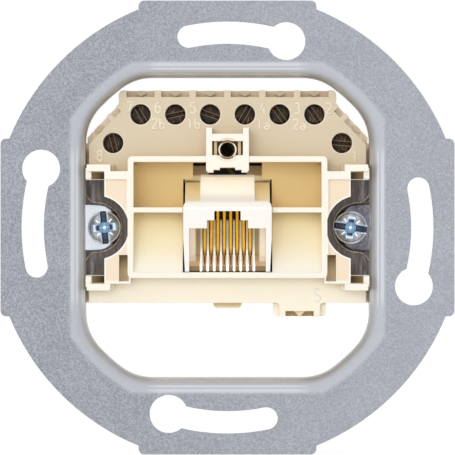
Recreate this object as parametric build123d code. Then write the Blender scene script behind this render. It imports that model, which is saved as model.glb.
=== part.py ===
from build123d import *
import math
import os

# Flush data socket insert: a pressed steel support ring carries a moulded socket body.
# Millimetres. +Z is up, the front faces -Y and the body reaches along +Y into the wall.
# The origin is the centre of the ring's rear face, which is the plane of the wall.

# Gap between two pieces that only stand beside each other
fit_gap = 0.1
# How close an edge must lie to a plane to be picked from a shape
pick_gap = 0.001

# Support ring, pressed from one sheet
sheet = 1.2
ring_width = 71.0
ring_disc_d = 73.7
tab_half_length = 13.9
tab_corner_r = 0.9
opening_half_w = 22.3
opening_half_h = 23.6
opening_r = 27.6
opening_blend_r = 8.0
bend_r = 2.4
collar_depth = 4.7

# Keyhole slots for the wall box's screws
slot_inset = 0.25
slot_track_r = (ring_width / 2 + opening_half_h + bend_r) / 2 - slot_inset
slot_w = 3.55
slot_end_angle = 11.5
keyhole_r = 3.0
keyhole_shift = 0.1
keyhole_track_r = slot_track_r + keyhole_shift
keyhole_angle = 17.5

# Claw seat: a flange with a D-shaped cup on each side of the ring
flange_half = 7.5
cup_r = 3.9
cup_inset = 1.7
cup_centre_x = opening_half_w - cup_inset
cup_depth = 2.5
cup_floor_y = collar_depth + cup_depth
cup_lip_r = 0.25
flange_inner_x = cup_centre_x - cup_r - sheet
flange_front_y = collar_depth - sheet
window_top_y = 1.4
window_flare_half = 6.8

# Claw screws
screw_inset = 1.2
screw_x = cup_centre_x - screw_inset
screw_r = 1.5
screw_head_r = 2.6
screw_head_h = 1.9
screw_shank_length = 12.0
screw_slot_w = 0.85
screw_slot_depth = 0.75
screw_cross_length = 3.2
screw_cross_depth = 1.3
thread_clearance = 0.05
screw_turn = {"left": 85.0, "right": 8.0}

# Claws, bent from strip
claw_sheet = 1.0
claw_half_w = 3.65
claw_rise_angle = 22.0
claw_swing = 20.0
claw_leg_length = 11.5
claw_bend_r = 0.3
claw_tooth_reach = 1.4
claw_tooth_rise = 0.9
claw_tooth_depth = 1.6
claw_tooth_tip = 0.3
claw_pivot_x = opening_half_w - fit_gap
claw_pivot_y = cup_floor_y - fit_gap
claw_slot_clearance = 0.15

# Spacing of the six screw terminals in the top row
terminal_pitch = 5.47

# Half the jack's width at its bezel
jack_half = 6.9

# Moulded front cover
wall = 1.1
rim_y = -2.0
deck_y = 2.0
deck_t = 1.6
deck_end_margin = 0.7
deck_corner_gap = 0.05
deck_corner_r = 0.8
deck_top_gap = 2.0
deck_side_gap = 0.5
deck_shoulder_drop = 2.1
deck_slant_drop = 7.0
deck_top_half = 3 * terminal_pitch + deck_end_margin
deck_corner_z = math.sqrt((opening_r - deck_corner_gap) ** 2 - deck_top_half ** 2)
deck_top_z = min(opening_half_h - deck_top_gap, deck_corner_z)
deck_shoulder_z = deck_top_z - deck_shoulder_drop
deck_slant_z = deck_top_z - deck_slant_drop
deck_half = opening_half_w - deck_side_gap
deck_bottom_z = -11.85
split_y = 11.2
frame_overlap = 0.2
waist_x = flange_inner_x - fit_gap
frame_half = waist_x + frame_overlap
frame_wall = 0.9
frame_top_z = 11.15
frame_bottom_z = -7.9
frame_corner_r = 0.7
pocket_floor_y = 5.2
pocket_floor_t = 1.2
rib_z = 2.75
rib_t = 0.8
ramp_front_y = -1.7
ramp_back_y = 4.2
port_half = jack_half + fit_gap
port_step_half = 5.45
port_step_z = 7.6

# Claw bays in the cover
bay_inset = 1.35
bay_inner_x = cup_centre_x - bay_inset
bay_margin = 1.3
bay_half = flange_half + bay_margin
bay_disc_margin = 1.05
bay_disc_r = cup_r + bay_disc_margin
bay_disc_inset = 0.2
bay_disc_x = cup_centre_x - bay_disc_inset
lug_gap = 0.3
lug_outer_x = opening_half_w - lug_gap
lug_length = 3.7
lug_inner_x = lug_outer_x - lug_length
lug_t = 1.05
lug_foot_w = 0.55
lug_foot_front_y = 0.9
post_w = 0.9
post_outer_x = opening_half_w - fit_gap
post_front_y = -1.2
panel_recess = 0.4
panel_edge = 0.2
chute_w = 1.55
chute_top_z = -4.3
chute_bottom_z = -8.4

# Centre boss and threaded sleeve
boss_half = 3.35
boss_top_z = 15.6
boss_bottom_z = 8.65
boss_front_y = -2.2
boss_back_y = 5.0
boss_leg_w = 0.95
boss_leg_z = boss_top_z - boss_leg_w
boss_foot_h = 0.4
boss_arch_h = 0.75
boss_foot_z = boss_bottom_z + boss_foot_h
boss_arch_z = boss_bottom_z + boss_arch_h
boss_window_half = 2.4
sleeve_drop = 3.45
sleeve_z = boss_top_z - sleeve_drop
boss_window_below = 0.85
boss_window_above = 1.35
boss_window_z0 = sleeve_z - boss_window_below
boss_window_z1 = sleeve_z + boss_window_above
boss_foot_inset = 0.2
boss_corner_r = 0.45
boss_bar_w = 0.45
boss_bar_gap = 0.15
boss_bar_depth = 0.9
boss_counterbore_w = 0.3
boss_counterbore_depth = 0.35
sleeve_r = 1.5
sleeve_bore_r = 1.05
sleeve_front_y = -1.4
sleeve_back_y = 7.0

# Screw terminals: six in the top row and one at each shoulder
terminal_row_drop = 3.8
terminal_row_z = deck_top_z - terminal_row_drop
terminal_shoulder_inset = 3.8
terminal_shoulder_x = deck_half - terminal_shoulder_inset
terminal_shoulder_drop = 1.3
terminal_shoulder_z = deck_slant_z - terminal_shoulder_drop
terminal_head_r = 1.5
terminal_hole_gap = 0.12
terminal_hole_rim = 0.15
terminal_hole_r = terminal_head_r + terminal_hole_gap
terminal_tube_wall = 0.6
terminal_tube_gap = 0.8
clamp_front_y = 7.2
terminal_tube_end_y = clamp_front_y - terminal_tube_gap
terminal_screw_turns = [-5.0, -55.0, -55.0, 60.0, -20.0, 12.0, -60.0, -75.0]
clamp_w = 3.4
clamp_h = 3.0
clamp_wall = 1.1
clamp_pin_w = 0.9
clamp_pin_t = 0.6
clamp_chamber_w = 2.3
terminal_screw_r = 1.0
terminal_head_h = 1.5
terminal_head_gap = 0.3
terminal_travel = 1.2
terminal_slot_w = 0.5
terminal_slot_depth = 0.7
notch_w = 4.45
notch_h = 1.1
notch_back_y = 5.4
notch_open_reach = 1.0
nick_w = 1.4
nick_gap = 0.85
wire_hole_w = 3.4
guide_half_w = 0.9
guide_h = 0.95
guide_t = 0.8

# Shield lug and clip nose under the cover
shield_x = 11.35
shield_half = 3.2
shield_shoulder = 0.95
shield_bottom_z = -14.1
shield_step_y = 1.0
shield_step_rise = 0.1
shield_corner_r = 0.55
shield_tip_r = 0.3
clip_half = 2.2
clip_drop = 0.65

# Rails that clip the cover behind the ring's collar
rail_reach = 0.6
rail_t = 1.4

# Rear housing
rear_wall = 1.3
rear_back_y = 22.0
rear_waist_half = 7.7
rear_chamfer = 0.8
rear_panel_margin = 4.2
rear_panel_depth = 0.4
dimple_r = 0.9
dimple_depth = 0.7
lip_t = 0.9
lip_reach = 1.4

# Circuit board
board_step = 0.8
board_front_y = split_y + board_step
board_t = 1.6
board_gap = 0.25
post_r = 1.6
pin_out = 1.0

# Jack, tilted so that its mouth looks forward and a little down
jack_tilt = 10.0
jack_mouth_y = -2.4
jack_mouth_z = -6.9
jack_foot_inset = 0.25
jack_foot_half = jack_half - jack_foot_inset
jack_face_h = 10.26
jack_bezel = 2.0
jack_bezel_rise = 0.66
jack_corner_r = 1.0
jack_length = 12.0
jack_latch_half = 4.25
jack_latch_rise = 2.45
jack_side_drop = 0.92
mouth_half = 5.97
mouth_h = 6.87
mouth_step_half = 3.2
mouth_step_h = 1.27
mouth_notch_half = 2.05
mouth_notch_h = 1.46
mouth_depth = 10.6
jack_base_half = 6.4

# Contact carrier and spring contacts
contact_count = 8
contact_pitch = 1.016
contact_w = 0.42
contact_t = 0.36
fin_pitch = 1.033
fin_w = 0.36
fin_h = 1.2
comb_depth = 8.9
comb_h = 6.4
carrier_floor_t = 0.75
carrier_floor_d = 0.7
carrier_gap = 0.05
contact_tip_d = 1.0
contact_tip_h = 0.95
contact_top_d = 9.8
contact_top_h = 8.0
contact_row_gap = 2.54
contact_exit_drop = 1.0


def slab(sketch, front_y, back_y):
    """Extrude a sketch drawn in X and Z between two planes of constant Y."""
    plane = Plane(origin=(0, back_y, 0), x_dir=(1, 0, 0), z_dir=(0, -1, 0))
    return extrude(plane * sketch, amount=back_y - front_y)


def side_slab(points, x0, x1):
    """Extrude a (y, z) outline between two planes of constant X."""
    face = make_face(Polyline(*points, close=True))
    plane = Plane(origin=(x0, 0, 0), x_dir=(0, 1, 0), z_dir=(1, 0, 0))
    return extrude(plane * face, amount=x1 - x0)


def top_slab(points, z0, z1):
    """Extrude an (x, y) outline between two planes of constant Z."""
    face = make_face(Polyline(*points, close=True))
    plane = Plane(origin=(0, 0, z0), x_dir=(1, 0, 0), z_dir=(0, 0, 1))
    return extrude(plane * face, amount=z1 - z0)


def block(x0, x1, y0, y1, z0, z1):
    """A box from its two corners."""
    centre = Pos((x0 + x1) / 2, (y0 + y1) / 2, (z0 + z1) / 2)
    return centre * Box(x1 - x0, y1 - y0, z1 - z0)


def rod(x, z, radius, y0, y1):
    """A round bar along Y."""
    return Pos(x, (y0 + y1) / 2, z) * Rot(90, 0, 0) * Cylinder(radius, y1 - y0)


def rect(x0, x1, z0, z1):
    """A rectangle in X and Z from its two corners."""
    return Pos((x0 + x1) / 2, (z0 + z1) / 2) * Rectangle(x1 - x0, z1 - z0)


def both_sides(shape):
    """The shape and its mirror image across the centre plane."""
    return shape + mirror(shape, about=Plane.YZ)


def jack_place(shape):
    """Move a shape from the jack's own frame to its tilted place."""
    return Pos(0, jack_mouth_y, jack_mouth_z) * Rot(jack_tilt, 0, 0) * shape


def jack_point(depth, height):
    """The (y, z) of a point given by its depth and height in the jack."""
    tilt = math.radians(jack_tilt)
    y = jack_mouth_y + depth * math.cos(tilt) - height * math.sin(tilt)
    z = jack_mouth_z + depth * math.sin(tilt) + height * math.cos(tilt)
    return (y, z)


def strip_outline(points, thickness):
    """The outline of a strip of constant thickness about a bent centre line."""
    left = []
    right = []
    last = len(points) - 1
    for index, (a, b) in enumerate(points):
        before = points[max(index - 1, 0)]
        after = points[min(index + 1, last)]
        steps = [(a - before[0], b - before[1]), (after[0] - a, after[1] - b)]
        steps = [step for step in steps if math.hypot(*step) > 0]
        normals = [(-s[1] / math.hypot(*s), s[0] / math.hypot(*s)) for s in steps]
        nx = sum(n[0] for n in normals) / len(normals)
        ny = sum(n[1] for n in normals) / len(normals)
        reach = thickness / 2 / (nx * nx + ny * ny)
        left.append((a + nx * reach, b + ny * reach))
        right.append((a - nx * reach, b - ny * reach))
    return left + right[::-1]


# Support ring

def ring_outline():
    """A disc clipped by the flats, with a square tab on each of the four sides."""
    disc = Circle(ring_disc_d / 2) & Rectangle(ring_width, ring_width)
    upright = RectangleRounded(2 * tab_half_length, ring_width, tab_corner_r)
    level = RectangleRounded(ring_width, 2 * tab_half_length, tab_corner_r)
    return disc + upright + level


def opening_outline():
    """The ring's opening: a rectangle rounded off by a large circle."""
    shape = Circle(opening_r) & Rectangle(2 * opening_half_w, 2 * opening_half_h)
    return fillet(shape.vertices(), opening_blend_r)


def keyhole():
    """One slot: a round head, an arc track and a round end, on the left of the ring."""
    head = Rot(0, 0, -keyhole_angle) * Pos(-keyhole_track_r, 0) * Circle(keyhole_r)
    end = Rot(0, 0, slot_end_angle) * Pos(-slot_track_r, 0) * Circle(slot_w / 2)
    band = Circle(slot_track_r + slot_w / 2) - Circle(slot_track_r - slot_w / 2)
    reach = ring_width
    head_edge = math.radians(180 - keyhole_angle)
    end_edge = math.radians(180 + slot_end_angle)
    wedge = Polygon(
        (0, 0),
        (reach * math.cos(head_edge), reach * math.sin(head_edge)),
        (reach * math.cos(end_edge), reach * math.sin(end_edge)),
        align=None,
    )
    return head + end + (band & wedge)


def cup_sketch(radius):
    """The D shape of a claw cup: a half disc that runs on outwards."""
    outward = rect(cup_centre_x, opening_half_w + 2 * sheet, -radius, radius)
    return Pos(cup_centre_x, 0) * Circle(radius) + outward


def support_ring():
    """Flat ring, rolled collar, side flanges and claw cups as one pressing."""
    opening = opening_outline()
    collar = offset(opening, amount=sheet)
    ring = slab(ring_outline(), -sheet, 0) + slab(collar, -sheet, collar_depth)
    ring -= slab(opening, -2 * sheet, collar_depth + sheet)
    inner_edges = [e for e in ring.edges() if is_at_plane(e, -sheet) and within_opening(e)]
    ring = fillet(inner_edges, bend_r)
    outer_edges = [e for e in ring.edges() if is_at_plane(e, 0) and within_opening(e)]
    ring = fillet(outer_edges, bend_r - sheet)

    slots = Sketch() + [Rot(0, 0, 90 * quarter) * keyhole() for quarter in range(4)]
    ring -= slab(slots, -2 * sheet, sheet)

    flange = block(flange_inner_x, opening_half_w + sheet / 2, flange_front_y, collar_depth,
                   -flange_half, flange_half)
    cup_limit = slab(rect(0, claw_pivot_x - 2 * fit_gap, -flange_half, flange_half),
                     0, cup_floor_y + sheet)
    cup = slab(cup_sketch(cup_r + sheet), flange_front_y, cup_floor_y + sheet) & cup_limit
    seat = flange + cup
    seat -= slab(cup_sketch(cup_r), 0, cup_floor_y)
    lip = [e for e in seat.edges().filter_by(GeomType.CIRCLE) if is_at_plane(e, flange_front_y)]
    seat = fillet(lip, cup_lip_r)
    seat -= rod(screw_x, 0, screw_r + thread_clearance, cup_floor_y - sheet, cup_floor_y + 2 * sheet)
    ring += both_sides(seat)

    edge = cup_r + fit_gap
    window = [
        (collar_depth + sheet, -edge),
        (flange_front_y, -edge),
        (window_top_y, -window_flare_half),
        (window_top_y, window_flare_half),
        (flange_front_y, edge),
        (collar_depth + sheet, edge),
    ]
    wall_cut = side_slab(window, opening_half_w - sheet / 4, opening_half_w + 2 * sheet)
    return ring - both_sides(wall_cut)


def is_at_plane(edge, y):
    """Whether an edge lies in the plane at this Y."""
    box = edge.bounding_box()
    return abs(box.min.Y - y) < pick_gap and abs(box.max.Y - y) < pick_gap


def within_opening(edge):
    """Whether an edge belongs to the collar and not to the ring's outer outline."""
    middle = edge.center()
    return math.hypot(middle.X, middle.Z) < opening_r + 2 * sheet


# Claws and their screws

def claw_slot_r():
    """Half the width of the slot that straddles the screw's shank."""
    return screw_r + claw_slot_clearance


def claw_reach():
    """How far the claw's two tines reach from the pivot, kept inside the cup's round wall."""
    tine_r = cup_r - claw_slot_clearance
    return claw_pivot_x - cup_centre_x + math.sqrt(tine_r ** 2 - claw_slot_r() ** 2)


def head_seat_y(angle):
    """Where the screw head's underside stands, just clear of tines that rise at this angle."""
    rise = math.radians(angle)
    tip_y = claw_pivot_y - claw_reach() * math.sin(rise) - claw_sheet * math.cos(rise)
    return tip_y - fit_gap


def screw_travel():
    """How far the screw goes in while the claw swings through its angle."""
    return head_seat_y(claw_rise_angle - claw_swing) - head_seat_y(claw_rise_angle)


def from_pressed(shape):
    """Turn a shape from the claw's pressed place back to its place at rest."""
    return (Pos(claw_pivot_x, claw_pivot_y, 0) * Rot(0, 0, claw_swing)
            * Pos(-claw_pivot_x, -claw_pivot_y, 0) * shape)


def claw():
    """The right-hand claw: a forked plate under the screw head and a toothed leg.

    The plate's outer end bears on the cup's edge, so the head pushes its tines back
    and the leg swings outwards against the wall box.
    """
    rise = math.radians(claw_rise_angle)
    half_t = claw_sheet / 2
    leg_x = claw_pivot_x + half_t
    bend_drop = (1 - math.sin(rise)) * math.tan(rise) - math.cos(rise)
    corner_y = claw_pivot_y + half_t * bend_drop
    tip = (claw_pivot_x + half_t * math.sin(rise) - 2 * cup_r * math.cos(rise),
           claw_pivot_y - half_t * math.cos(rise) - 2 * cup_r * math.sin(rise))
    leg_end = claw_pivot_y + claw_leg_length
    route = [tip, (leg_x, corner_y), (leg_x, leg_end),
             (leg_x + claw_tooth_reach, leg_end + claw_tooth_rise)]
    shape = top_slab(strip_outline(route, claw_sheet), -claw_half_w, claw_half_w)
    bend = [e for e in shape.edges().filter_by(Axis.Z)
            if abs(e.center().Y - corner_y) < claw_sheet and e.center().X > leg_x - claw_sheet]
    outer = max(bend, key=lambda e: e.center().X)
    shape = fillet(outer, claw_bend_r + claw_sheet / 2)

    tine_r = cup_r - claw_slot_clearance
    plate_room = Pos(cup_centre_x, 0) * Circle(tine_r)
    plate_room += rect(cup_centre_x, ring_width, -claw_half_w, claw_half_w)
    room = slab(plate_room, -split_y, rear_back_y)
    shape = shape & room & from_pressed(room)

    slot = Pos(screw_x, 0) * Circle(claw_slot_r())
    slot += rect(0, screw_x, -claw_slot_r(), claw_slot_r())
    shank_room = slab(slot, -split_y, claw_pivot_y + claw_sheet)
    shape = shape - shank_room - from_pressed(shank_room)

    tip_y = leg_end + claw_tooth_rise + claw_sheet
    root_y = leg_end - claw_tooth_depth
    near = claw_half_w / 2 - claw_tooth_tip / 2
    far = claw_half_w / 2 + claw_tooth_tip / 2
    beyond = claw_half_w + claw_sheet
    shape -= side_slab([(tip_y, -near), (root_y, 0), (tip_y, near)], leg_x - claw_sheet, ring_width)
    for side in (-1, 1):
        corner = [(tip_y, side * far), (root_y, side * claw_half_w),
                  (root_y, side * beyond), (tip_y, side * beyond)]
        shape -= side_slab(corner, leg_x - claw_sheet, ring_width)
    return shape


def claw_screw(side):
    """A pan-head screw with a slot and a cross recess, on the right of the ring."""
    seat = head_seat_y(claw_rise_angle)
    front = seat - screw_head_h
    head = rod(0, 0, screw_head_r, front, seat)
    rim = [e for e in head.edges() if is_at_plane(e, front)]
    head = fillet(rim, screw_head_h / 2)
    shank = rod(0, 0, screw_r, seat, seat + screw_shank_length)
    tip = [e for e in shank.edges() if is_at_plane(e, seat + screw_shank_length)]
    shank = chamfer(tip, screw_r / 3)
    half = screw_slot_w / 2
    slot = block(-screw_head_r, screw_head_r, front, front + screw_slot_depth, -half, half)
    arm = screw_cross_length / 2
    cross = block(-arm, arm, front, front + screw_cross_depth, -half, half)
    cross += block(-half, half, front, front + screw_cross_depth, -arm, arm)
    screw = head + shank - slot - cross
    return Pos(screw_x, 0, 0) * Rot(0, -screw_turn[side], 0) * screw


# Front cover

def deck_outline(waist_half):
    """The body's outline, with a waist of the given half height for the claws."""
    points = [
        (0, deck_top_z),
        (deck_top_half, deck_top_z),
        (deck_top_half, deck_shoulder_z),
        (deck_half, deck_slant_z),
        (deck_half, waist_half),
        (waist_x, waist_half),
        (waist_x, -waist_half),
        (deck_half, -waist_half),
        (deck_half, deck_bottom_z),
        (0, deck_bottom_z),
    ]
    mirrored = [(-x, z) for x, z in points[-2:0:-1]]
    return make_face(Polyline(*points, *mirrored, close=True))


def terminal_places():
    """Terminal 1 is at the right shoulder, 2 to 7 run leftwards, 8 is at the left one."""
    places = [(terminal_shoulder_x, terminal_shoulder_z)]
    for index in range(6):
        places.append(((2.5 - index) * terminal_pitch, terminal_row_z))
    places.append((-terminal_shoulder_x, terminal_shoulder_z))
    return places


def slant_angle():
    """The turn, in degrees, of the right shoulder's slanted edge."""
    return math.degrees(math.atan2(deck_slant_z - deck_shoulder_z, deck_half - deck_top_half))


def entry_places():
    """The middle of each wire entry on the outline's edge, and the edge's turn.

    On a shoulder that is the point of the slanted edge nearest to its terminal.
    """
    entries = [(x, deck_top_z, 0.0) for x, z in terminal_places()[1:-1]]
    turn = math.radians(slant_angle())
    along = ((terminal_shoulder_x - deck_top_half) * math.cos(turn)
             + (terminal_shoulder_z - deck_shoulder_z) * math.sin(turn))
    edge_x = deck_top_half + along * math.cos(turn)
    edge_z = deck_shoulder_z + along * math.sin(turn)
    entries.append((edge_x, edge_z, slant_angle()))
    entries.append((-edge_x, edge_z, -slant_angle()))
    return entries


def pocket_sketch():
    """The frame's right-hand pocket, up to the stepped edge of the jack's port."""
    inner = frame_half - frame_wall
    lower = rect(port_half, inner, frame_bottom_z + frame_wall, port_step_z)
    return lower + rect(port_step_half, inner, port_step_z, frame_top_z - frame_wall)


def cover_frame():
    """The raised frame about the jack, with its rib, pocket floors and ramps."""
    outer = rect(-frame_half, frame_half, frame_bottom_z, frame_top_z)
    outer = fillet(outer.vertices(), frame_corner_r)
    inner_half = frame_half - frame_wall
    low_z = frame_bottom_z + frame_wall
    high_z = frame_top_z - frame_wall
    inner = rect(-inner_half, inner_half, low_z, high_z)
    floor_back = pocket_floor_y + pocket_floor_t
    walls = slab(outer - inner, rim_y, flange_front_y)
    walls += slab(rect(-waist_x, waist_x, frame_bottom_z, frame_top_z) - inner, deck_y, floor_back)
    floor = slab(pocket_sketch() & rect(0, inner_half, rib_z, high_z), pocket_floor_y, floor_back)
    rib = block(port_half, inner_half, rim_y, floor_back, rib_z - rib_t / 2, rib_z + rib_t / 2)
    ramp = side_slab([
        (ramp_front_y, low_z),
        (ramp_back_y, rib_z),
        (floor_back, rib_z),
        (floor_back, rib_z - rib_t),
        (ramp_front_y + 2 * pocket_floor_t, low_z),
    ], port_half, inner_half)
    return walls + both_sides(floor + rib + ramp)


def claw_bay():
    """The right-hand bay about the claw: its block, lugs and posts, all standing on the flange."""
    inner_x = frame_half - frame_wall / 2
    body = rect(inner_x, bay_inner_x, -bay_half, bay_half)
    body -= Pos(bay_disc_x, 0) * Circle(bay_disc_r)
    bay = slab(body, rim_y, flange_front_y)
    bay -= block(frame_half + panel_edge, bay_inner_x, rim_y, rim_y + panel_recess,
                 -bay_half, flange_half)
    chute_x = frame_half - panel_edge
    bay -= block(chute_x, chute_x + chute_w, rim_y, deck_y, chute_bottom_z, chute_top_z)
    for side in (-1, 1):
        low, high = sorted((side * bay_half, side * (bay_half + lug_t)))
        bay += block(lug_inner_x, lug_outer_x, rim_y, deck_y + deck_t, low, high)
        bay += block(lug_inner_x - lug_foot_w, lug_inner_x, lug_foot_front_y, deck_y + deck_t, low, high)
        low, high = sorted((side * (flange_half + fit_gap), side * (bay_half + lug_t / 2)))
        bay += block(post_outer_x - post_w, post_outer_x, post_front_y, collar_depth, low, high)
    return bay


def centre_boss():
    """The boss that holds the threaded sleeve above the jack."""
    outline = rect(-boss_half, boss_half, boss_bottom_z, boss_top_z)
    feet = [v for v in outline.vertices() if v.Y < sleeve_z]
    boss = slab(fillet(feet, boss_corner_r), boss_front_y, boss_back_y)
    leg_gap = boss_half - boss_leg_w
    boss -= block(-leg_gap, leg_gap, boss_front_y, deck_y - deck_t / 2, boss_leg_z, boss_top_z)
    foot_half = leg_gap - boss_foot_inset
    boss -= block(-foot_half, foot_half, boss_front_y, boss_back_y, boss_bottom_z, boss_foot_z)
    boss -= block(-leg_gap / 2, leg_gap / 2, boss_front_y, boss_back_y, boss_bottom_z, boss_arch_z)
    window = block(-boss_window_half, boss_window_half, boss_front_y, deck_y,
                   boss_window_z0, boss_window_z1)
    bar_inner = sleeve_r + boss_bar_gap
    bar = block(bar_inner, bar_inner + boss_bar_w, boss_front_y + boss_bar_depth, deck_y,
                boss_window_z0, boss_window_z1)
    boss = boss - window + both_sides(bar)
    boss -= rod(0, sleeve_z, sleeve_r + boss_counterbore_w,
                boss_front_y, boss_front_y + boss_counterbore_depth)
    return boss + rod(0, sleeve_z, sleeve_r + wall, deck_y, sleeve_back_y - wall)


def shield_lug():
    """The unused shield terminal's lug under the right side of the cover."""
    outer = shield_half + shield_shoulder
    back_y = shield_step_y + deck_y + deck_t
    step_y = deck_y + shield_step_y
    face = rect(-shield_half, shield_half, shield_bottom_z, deck_bottom_z + wall)
    face = fillet([v for v in face.vertices() if v.Y < deck_bottom_z], shield_tip_r)
    for side in (-1, 1):
        low, high = sorted((side * shield_half, side * (shield_half + shield_corner_r)))
        corner = rect(low, high, deck_bottom_z - shield_corner_r, deck_bottom_z)
        centre = Pos(side * (shield_half + shield_corner_r), deck_bottom_z - shield_corner_r)
        face += corner - centre * Circle(shield_corner_r)
    lug = slab(face, deck_y, back_y)
    shoulders = rect(-outer, outer, shield_bottom_z + shield_step_rise, deck_bottom_z + wall)
    shoulders = fillet([v for v in shoulders.vertices() if v.Y < deck_bottom_z], shield_corner_r)
    lug += slab(shoulders, step_y, back_y + deck_t)
    half = notch_w / 2
    lug -= block(-half, half, deck_y, back_y, shield_bottom_z, shield_bottom_z + guide_h)
    guide = Polygon((-guide_half_w, 0), (0, -guide_h), (guide_half_w, 0), align=None)
    lug += slab(Pos(0, shield_bottom_z + guide_h) * guide, step_y, back_y)
    return Pos(shield_x, 0, 0) * lug


def wire_notch(x, z, turn):
    """A bite out of the outline's edge at a wire entry.

    On a shoulder it is open at its lower end and has a short nick above it.
    """
    half = notch_w / 2
    bite = rect(-half, half, -notch_h, notch_h)
    if turn:
        outwards = -math.copysign(1, turn)
        low, high = sorted((0, outwards * (half + notch_open_reach)))
        bite += rect(low, high, -notch_h, notch_h)
        near = half + nick_gap
        low, high = sorted((-outwards * near, -outwards * (near + nick_w)))
        bite += rect(low, high, -notch_h, notch_h)
    return slab(Pos(x, z) * Rot(0, 0, turn) * bite, deck_y - wall, notch_back_y)


def wire_guide(x, z, turn):
    """The small pointed guide in the middle of a wire entry."""
    diamond = Polygon((-guide_half_w, -guide_h / 2), (0, -guide_h), (guide_half_w, -guide_h / 2),
                      (guide_half_w / 2, 0), (-guide_half_w / 2, 0), align=None)
    return slab(Pos(x, z) * Rot(0, 0, turn) * diamond, notch_back_y - guide_t, notch_back_y + guide_t)


def well_rim(x, z):
    """The chamfer about the mouth of a terminal's well."""
    cone = Cone(terminal_hole_r, terminal_hole_r + terminal_hole_rim, terminal_hole_rim)
    return Pos(x, deck_y + terminal_hole_rim / 2, z) * Rot(90, 0, 0) * cone


def clip_rails():
    """The two rails on the right wall that hold the cover behind the ring's collar."""
    front_y = collar_depth + fit_gap
    rails = block(deck_half - wall / 2, opening_half_w + rail_reach, front_y, front_y + rail_t,
                  bay_half, terminal_shoulder_z)
    return rails + block(deck_half - wall / 2, opening_half_w + rail_reach, front_y, front_y + rail_t,
                         deck_bottom_z, -bay_half)


def front_cover():
    """Deck, skirt, frame, claw bays and boss as one moulding."""
    outline = deck_outline(bay_half)
    hollow = offset(outline, amount=-wall, kind=Kind.INTERSECTION)
    top = [v for v in outline.vertices() if v.Y > deck_top_z - pick_gap and abs(v.X) > boss_half]
    outline = fillet(top, deck_corner_r)
    deck = slab(outline, deck_y, deck_y + deck_t)
    skirt = slab(outline - hollow, deck_y, split_y)
    frame_hole = rect(-frame_half + frame_wall, frame_half - frame_wall,
                      frame_bottom_z + frame_wall, frame_top_z - frame_wall)
    cover = deck + skirt - slab(frame_hole, deck_y - wall, deck_y + deck_t + wall)
    cover += cover_frame() + both_sides(claw_bay()) + centre_boss() + shield_lug()

    for x, z in terminal_places():
        cover += rod(x, z, terminal_hole_r + terminal_tube_wall, deck_y + deck_t / 2, terminal_tube_end_y)
    for x, z in terminal_places():
        cover -= rod(x, z, terminal_hole_r, deck_y - wall, terminal_tube_end_y + wall)
        cover -= well_rim(x, z)
    cover -= rod(0, sleeve_z, sleeve_r, boss_front_y, sleeve_back_y)

    chamber_front = clamp_front_y + clamp_wall
    chamber_back = board_front_y - clamp_wall
    for x, z, turn in entry_places():
        cover -= wire_notch(x, z, turn)
        hole = Pos(x, z) * Rot(0, 0, turn) * Rectangle(wire_hole_w, 4 * wall)
        cover -= slab(hole, chamber_front, chamber_back)
        cover += wire_guide(x, z, turn)

    nose = side_slab([
        (split_y - 3 * wall, deck_bottom_z + wall / 2),
        (split_y - 3 * wall, deck_bottom_z),
        (split_y - wall, deck_bottom_z - clip_drop),
        (split_y, deck_bottom_z - clip_drop),
        (split_y, deck_bottom_z + wall / 2),
    ], -clip_half, clip_half)
    return cover + nose + both_sides(clip_rails())


def threaded_sleeve():
    """The metal sleeve that takes the centre plate's screw."""
    sleeve = rod(0, sleeve_z, sleeve_r, sleeve_front_y, sleeve_back_y)
    return sleeve - rod(0, sleeve_z, sleeve_bore_r, sleeve_front_y, sleeve_back_y)


# Rear housing and circuit board

def board_posts():
    """The centres of the posts that carry the circuit board."""
    high = deck_slant_z - rear_wall - post_r
    low = deck_bottom_z + rear_wall + post_r
    side = waist_x - rear_wall - post_r
    return [(side, high - post_r), (-side, high - post_r), (side, low), (-side, low)]


def rear_housing():
    """The tray behind the cover, which closes it and carries the circuit board."""
    outline = deck_outline(rear_waist_half)
    inner = offset(outline, amount=-rear_wall, kind=Kind.INTERSECTION)
    tray = slab(outline, split_y, rear_back_y) - slab(inner, split_y, rear_back_y - rear_wall)
    rim = [e for e in tray.edges() if is_at_plane(e, rear_back_y)]
    tray = chamfer(rim, rear_chamfer)
    panel = offset(outline, amount=-rear_panel_margin, kind=Kind.INTERSECTION)
    tray -= slab(panel, rear_back_y - rear_panel_depth, rear_back_y)
    for x, z in board_posts():
        tray += rod(x, z, post_r, board_front_y + board_t, rear_back_y - rear_wall / 2)
        tray -= rod(x, z, dimple_r, rear_back_y - dimple_depth, rear_back_y)
    lip_top = deck_bottom_z + wall + fit_gap + lip_t
    lip_half = waist_x - wall - fit_gap
    lip = block(-lip_half, lip_half, split_y - lip_reach, split_y, lip_top - lip_t, lip_top)
    lip += block(-lip_half, lip_half, split_y, board_front_y - board_gap,
                 deck_bottom_z + rear_wall / 2, lip_top)
    return tray + lip


def board_pins():
    """The places where pins pass through the circuit board, with their hole radius."""
    clamp_hole_r = math.hypot(clamp_pin_w, clamp_pin_t) / 2 + thread_clearance
    contact_hole_r = math.hypot(contact_w, contact_t) / 2 + thread_clearance
    clamps = [(x, z, clamp_hole_r) for x, z in terminal_places()]
    contacts = [(contact_x(index), contact_exit_z(index), contact_hole_r)
                for index in range(contact_count)]
    return clamps + contacts


def circuit_board():
    """A flat board that fills the rear housing, drilled for every pin."""
    outline = deck_outline(rear_waist_half)
    board = offset(outline, amount=-(rear_wall + board_gap), kind=Kind.INTERSECTION)
    for x, z, radius in board_pins():
        board -= Pos(x, z) * Circle(radius)
    return slab(board, board_front_y, board_front_y + board_t)


# Screw terminals

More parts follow.
